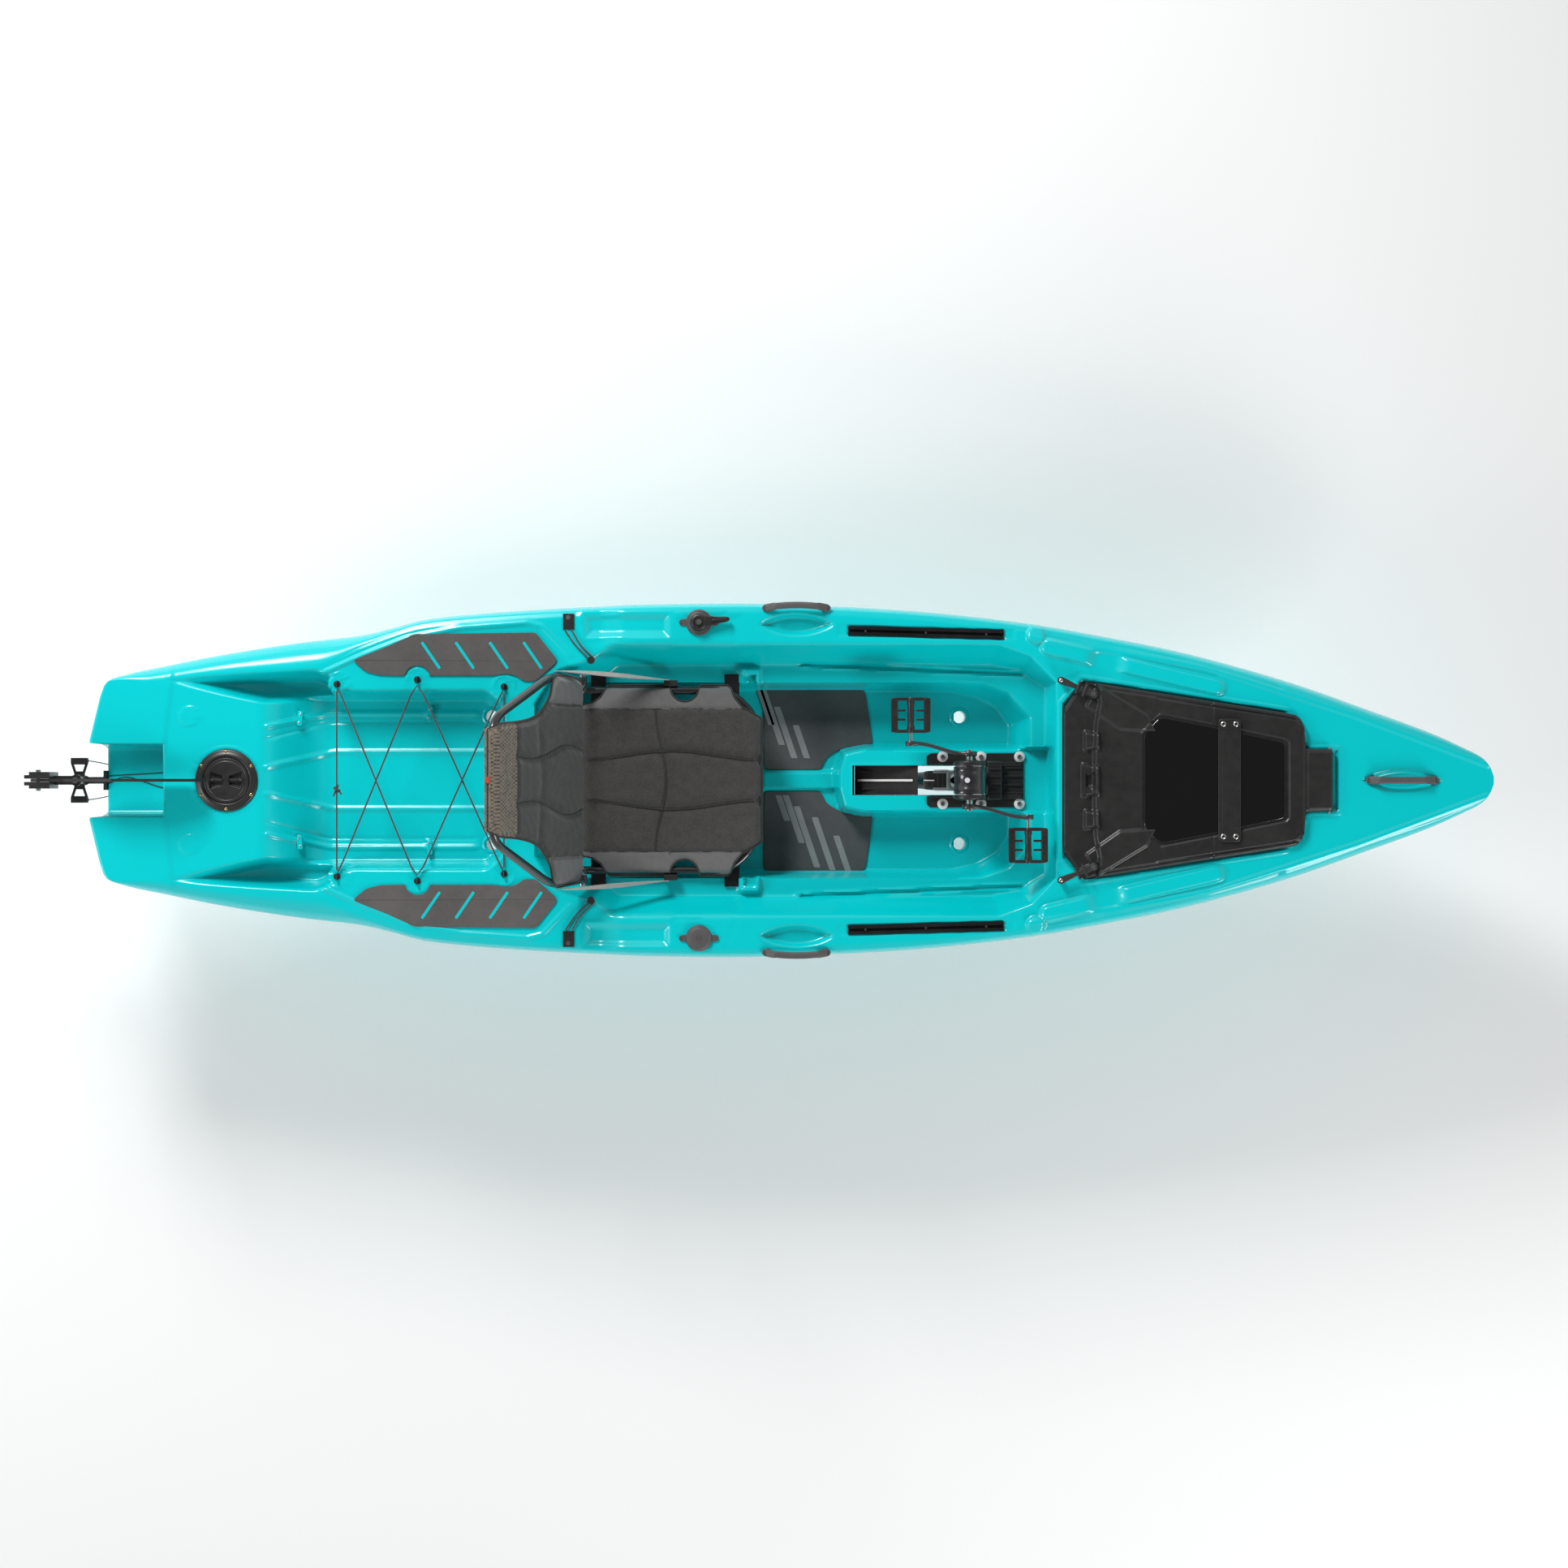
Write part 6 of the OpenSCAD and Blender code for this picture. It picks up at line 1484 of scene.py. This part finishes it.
    def build_pedal(self, label: str, side: int) -> None:
        """Platform pedal: two pairs of bars round two windows, a spindle barrel, end caps and grip pins."""
        cx, cy = self.x - side * self.crank_len, side * 172
        shell = Shell()
        for s in (-1, 1):
            shell.plate(rounded_outline([(cx + s * 34, cy - 46), (cx + s * 52, cy - 46), (cx + s * 52, cy + 46),
                    (cx + s * 34, cy + 46)], 6, 3),
                        self.z - 7.6, self.z + 7.6, 1.8)
            shell.plate(rounded_outline([(cx - 50, cy + s * 38), (cx + 50, cy + s * 38), (cx + 44, cy + s * 47),
                    (cx - 44, cy + s * 47)], 5, 3),
                        self.z - 7, self.z + 7, 1.6)
            for k in (-1, 1):
                shell.box((cx + s * 26 - 12, cy + k * 12 - 3, self.z - 6), (cx + s * 26 + 12, cy + k * 12 + 3,
                        self.z + 6), 1)
        shell.lathe([(5.4, 46.5), (9.2, 46.5), (10, 45), (10, 30), (8.6, 27), (8.6, -27), (10, -30), (10, -45),
                (9.2, -46.5), (5.4, -46.5)],
                    (cx, cy, self.z), (0, 1, 0), 32)
        for s in (-1, 1):
            for k in range(6):
                for face in (-1, 1):
                    px, py = cx + s * 44, cy - 36 + 14.4 * k
                    shell.lathe([(0.1, 9.6), (1.5, 9.4), (1.8, 7)], (px, py, self.z), (0, 0, face), 8)
        shell.build(f"pedal_body_{label}", BLACK, f"pedal_{label}", (f"pedal_{label}",), "black_plastic", smooth=40)

    def build_propeller(self) -> None:
        """Propeller: turned hub and two twisted blades of aerofoil section."""
        hx, hz = self.x - 126, -260
        shell = Shell().lathe([(0.1, 60), (4, 59), (9, 56), (14, 51), (18, 43), (20, 33), (20, 1), (19, 0),
                (0.1, 0)], (hx, 0, hz), (-1, 0, 0), 48)
        for turn in (0, math.pi):
            u = np.linspace(0, 1, 36)[:, None]
            k = np.linspace(0, 2 * np.pi, 32, endpoint=False)[None]
            chord = (20 + 34 * np.sin(np.radians(150) * u**0.8)) * np.sqrt(np.clip(1 - u**14, 0.004, 1))
            thick = 8 - 5 * u
            a = np.radians(62 - 40 * u)
            px, py = chord / 2 * np.cos(k), thick / 2 * np.sin(k) * (1 + 0.25 * np.cos(k))
            qx, qy = px * np.cos(a) - py * np.sin(a), px * np.sin(a) + py * np.cos(a)
            r = 8 + u * 111.6 + 0 * k
            c, s = math.cos(turn), math.sin(turn)
            rings = np.stack([hx - 17 + qx, qy * c - r * s, hz + qy * s + r * c], 2)
            shell.grid(rings, wrap_v=True)
            shell.cap(rings[-1])
        shell.lathe([(5, 130), (5, 0)], (hx - 10, 0, hz), (1, 0, 0), 24)
        shell.build("propeller_screw", GREY, "propeller", ("propeller",), "grey_plastic", smooth=50)

    def build(self) -> None:
        """Makes the drive's pieces."""
        self.build_plate()
        self.build_head()
        self.build_leg()
        self.build_propeller()
        for label, side in (("port", 1), ("starboard", -1)):
            self.build_crank(label, side)
            self.build_pedal(label, side)


# ---- Steering, lines and cords ----
@dataclass
class Steering:
    """Steering lever on its round base, the blank cover opposite it, and the deck cords."""

    x: float = -235
    y: float = 418
    z: float = 325.1
    hook: tuple[float, float] = (-522, 318)
    loop_r: float = 7.55

    def base(self, side: int, plain: bool) -> Shell:
        """Round base with two screwed ears."""
        shell = Shell().lathe([(0.1 if plain else 5, 10.2), (20, 10.4), (27, 9.8), (28.4, 8.8), (30, 9.6),
                (33, 8.6), (34.8, 5), (35, 0)],
                              (self.x, side * self.y, self.z), sides=96)
        ears = rounded_outline([(self.x - 52, side * self.y - 9), (self.x + 52, side * self.y - 9),
                                (self.x + 52, side * self.y + 9), (self.x - 52, side * self.y + 9)], 9, 5)
        shell.plate(ears, self.z, self.z + 4.2, 1.2)
        if plain:
            for k in (-7, 0, 7):
                shell.box((self.x + k - 1.5, side * self.y - 9 + abs(k) / 2, self.z + 9.8),
                        (self.x + k + 1.5, side * self.y + 9 - abs(k) / 2, self.z + 11.6), 0.6)
        return shell

    def build_lever(self) -> None:
        """Teardrop lever with a dished hub, a stepped blade and a finger knob."""
        turn = math.radians(6)
        c, s = math.cos(turn), math.sin(turn)

        def place(p: Array) -> Array:
            """Lever points turned and set on the base."""
            return np.stack([self.x + p[..., 0] * c - p[..., 1] * s, self.y + p[..., 0] * s + p[..., 1] * c,
                             self.z + 10.5 + p[..., 2]], -1)
        shell = Shell().lathe([(4.6, 14.4), (12, 14.4), (13, 16), (18, 16), (21, 14), (23.4, 7), (24, 0.3)],
                (self.x, self.y, self.z + 10.5), sides=64)
        t = np.linspace(0, 1, 30)
        xs, w = 8 + 74 * t, np.interp(t, [0, 0.3, 0.6, 0.84, 0.95, 1], [18, 13, 9, 7.6, 6, 2.5])
        outline = np.concatenate([np.column_stack([xs, -w]), np.column_stack([xs[::-1], w[::-1]])])
        shell.plate(outline, 2.4, 13, 3, place)
        shell.plate(rounded_outline([(34, -4), (74, -3), (74, 3), (34, 4)], 3, 3), 12, 17, 1.6, place)
        shell.build("steering_lever_moulding", BLACK, "steering_lever", ("steering_lever",), smooth=45)

    def build_bungee(self) -> None:
        """Bungee laced through the six eyes, with the knot that ties its ends together."""
        z = 310.1 + 11
        order = [(-1195, 255, z - 3), (-982, -267, z - 2), (-752, 248, z - 3), (-752, 0, z - 2), (-752, -248, z - 3),
                 (-982, 267, z + 2), (-1195, -255, z - 3), (-1195, 0, z - 2)]
        pts = []
        for k, p in enumerate(order):
            q = order[(k + 1) % len(order)]
            p, q = np.array(p, float), np.array(q, float)
            n = 14
            t = np.linspace(0, 1, n, endpoint=False)[:, None]
            run = p + (q - p) * t
            cross = 4.6 * np.sin(np.pi * t[:, 0]) * (1 if k in (0, 1) else -1 if k in (4, 5) else 0)
            run[:, 2] += cross
            pts.append(run)
        path = np.vstack(pts)
        for _ in range(2):
            path = (np.roll(path, 1, 0) + 6 * path + np.roll(path, -1, 0)) / 8
        shell = Shell().tube(path, 2.25, 10, closed=True)
        a = np.linspace(0, 2 * np.pi, 80, endpoint=False)
        knot = np.stack([-1195 + 6 * np.sin(2 * a) + 2.5 * np.cos(3 * a), -24 + 9 * np.cos(a) + 3 * np.sin(2 * a),
                         z - 1 + 4.5 * np.sin(3 * a)], 1)
        shell.tube(knot, 2.25, 8, closed=True)
        for dy, dx in ((-14, -9), (-10, 12)):
            tail = smooth_path([(-1195, -24, z), (-1195 + dx * 0.6, -24 + dy * 0.6, z - 2),
                    (-1195 + dx, -24 + dy * 1.3, z - 6)], 12)
            shell.tube(tail, 2.2, 8)
        shell.build("deck_bungee_cord", CORD, "hull", ("deck_bungee",))

    def build_lines(self) -> None:
        """Steering wires from the stern to the rudder's yoke, and the two lines along the platform."""
        wires, lines = Shell(), Shell()
        for s in (-1, 1):
            wires.tube(smooth_path([(-1865, 52 * s, 253), (-1841, 48 * s, 244), (-1821, 43 * s, 220)], 24), 1.3, 10)
        obj = wires.build("steering_wires", LINE, "", ("steering_lines",))
        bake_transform(obj)
        straight = [(-1820, 12), (-1744, 16), (-1655, 21)]
        slack = [(-1820, -6), (-1804, -3), (-1792, 4), (-1774, 8), (-1754, 6), (-1724, -3), (-1689, -15),
                (-1655, -24)]
        for route in (straight, slack):
            lines.tube(smooth_path([(x, y, 231.5) for x, y in route], 60), 1.3, 10)
        lines.build("blade_lift_lines", LINE, "hull", ("rudder_lines",))

    def build_keepers(self) -> None:
        """Cord of each paddle keeper, from its tab round the deck hook and back."""
        turns = np.radians(np.arange(180, 361, 15))
        (hx, hy), r = self.hook, self.loop_r
        loop = [(hx + r * math.cos(a), hy + r * math.sin(a)) for a in turns]
        route = [(-590, 397), (-562, 357.5), (hx - r, hy + 6), *loop, (hx + r, hy + 6), (-548, 357.5), (-572, 397)]
        shell = Shell()
        for s in (-1, 1):
            shell.tube(smooth_path([(x, y * s, 315.2) for x, y in route], 120), 2.25, 10)
        shell.build("keeper_cord_loops", CORD, "hull", ("keeper_cords",))

    def build(self) -> None:
        """Makes the steering parts and cords."""
        self.base(1, False).build("steering_base_moulding", GREY, "hull", ("steering_base",))
        self.base(-1, True).build("blank_cover_moulding", GREY, "hull", ("blank_cover",))
        self.build_lever()
        self.build_bungee()
        self.build_keepers()
        self.build_lines()


CAD_FINISHES: dict[str, Finish] = {
    "hatch_gaskets": RUBBER, "bow_hinge_pin": STEEL, "gear_track_port": TRACK, "gear_track_starboard": TRACK,
    "steering_bolt": STEEL, "rudder_bracket": BLACK, "rudder_pin": STEEL, "seat_crossbars": TRACK,
    "seat_hinge_bolts": STEEL, "seat_buckles": BLACK, "deck_screws": STEEL, "bungee_eyes": BLACK,
    "latch_pins": STEEL, "crown_gear": BRONZE, "crank_spindle": STEEL, "pedal_axles": STEEL,
    "drive_shaft": STEEL, "rudder_blade": BLACK, "rudder_yoke": BLACK, "rudder_head": BLACK,
    "rudder_bolt": STEEL, "keeper_tabs": BLACK}


def finish_frame_parts() -> None:
    """Gives every part carried over from the frame its finish."""
    for name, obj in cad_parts.items():
        finish = CAD_FINISHES.get(name, BLACK)
        for slot in obj.material_slots:
            slot.material = finish.material()
        if not obj.material_slots:
            obj.data.materials.append(finish.material())


# ---- Setting ----
@dataclass
class Studio:
    """Floor, soft lights and the overhead camera."""

    height: float = 9.0
    lens: float = 78.0
    aim: tuple[float, float] = (-0.0098, -0.0098)

    def camera(self) -> None:
        """Long lens straight above the boat, with the bow to the right."""
        data = bpy.data.cameras.new("overhead")
        data.lens, data.sensor_width = self.lens, 36
        data.clip_end = 60
        cam = bpy.data.objects.new("overhead", data)
        cam.location = (*self.aim, self.height + 0.32)
        bpy.context.scene.collection.objects.link(cam)
        bpy.context.scene.camera = cam

    def floor(self) -> None:
        """Pale floor below the propeller."""
        shell = Shell()
        u, v = np.meshgrid(np.linspace(-12000, 12000, 5), np.linspace(-12000, 12000, 5), indexing="ij")
        shell.grid(np.stack([u, v, np.full(u.shape, -420.0)], 2))
        mesh = bpy.data.meshes.new("floor")
        mesh.from_pydata((np.vstack(shell.points) * MM).tolist(), [], shell.faces)
        obj = bpy.data.objects.new("floor", mesh)
        bpy.context.scene.collection.objects.link(obj)
        m = bpy.data.materials.new("paper")
        m.use_nodes = True
        shader = m.node_tree.nodes["Principled BSDF"]
        shader.inputs["Base Color"].default_value = (0.93, 0.93, 0.93, 1)
        shader.inputs["Roughness"].default_value = 0.9
        mesh.materials.append(m)

    def lights(self) -> None:
        """White surround and three large soft boxes."""
        world = bpy.data.worlds.new("surround")
        world.use_nodes = True
        back = world.node_tree.nodes["Background"]
        tree = world.node_tree
        up = node(tree, "ShaderNodeSeparateXYZ", {0: node(tree, "ShaderNodeTexCoord").outputs["Generated"]})
        level = node(tree, "ShaderNodeMapRange", {"Value": up.outputs[2], "From Min": 0.25, "From Max": 0.95,
                                                  "To Min": 0.95, "To Max": 0.10})
        tree.links.new(level.outputs[0], back.inputs[0])
        back.inputs[1].default_value = 0.8
        bpy.context.scene.world = world
        for name, place, size, power in (("key", (-2.4, 4.4, 4.0), 1.3, 300), ("fill", (3.4, -4.4, 3.2), 1.5, 150),
                                         ("aft", (-5.2, -1.6, 3.4), 1.3, 90)):
            data = bpy.data.lights.new(name, "AREA")
            data.shape, data.size, data.size_y = "RECTANGLE", size, size * 1.6
            data.energy = power
            lamp = bpy.data.objects.new(name, data)
            lamp.location = place
            aim = -np.asarray(place)
            lamp.rotation_mode = "QUATERNION"
            lamp.rotation_quaternion = Vector(aim).to_track_quat("-Z", "Y")
            bpy.context.scene.collection.objects.link(lamp)

    def build(self) -> None:
        """Makes the camera, floor and lights."""
        self.camera()
        self.floor()
        self.lights()


def main() -> None:
    """Builds the setting and every sub-assembly."""
    logging.basicConfig(level=logging.INFO, format="%(message)s")
    Studio().build()
    bpy.context.scene.view_settings.view_transform = "Standard"
    finish_frame_parts()
    for part in (Hull(), BowHatch(), SternHatch(), Grips(), Pads(), Seat(), Drive(), Steering()):
        part.build()


if __name__ == "__main__":
    main()
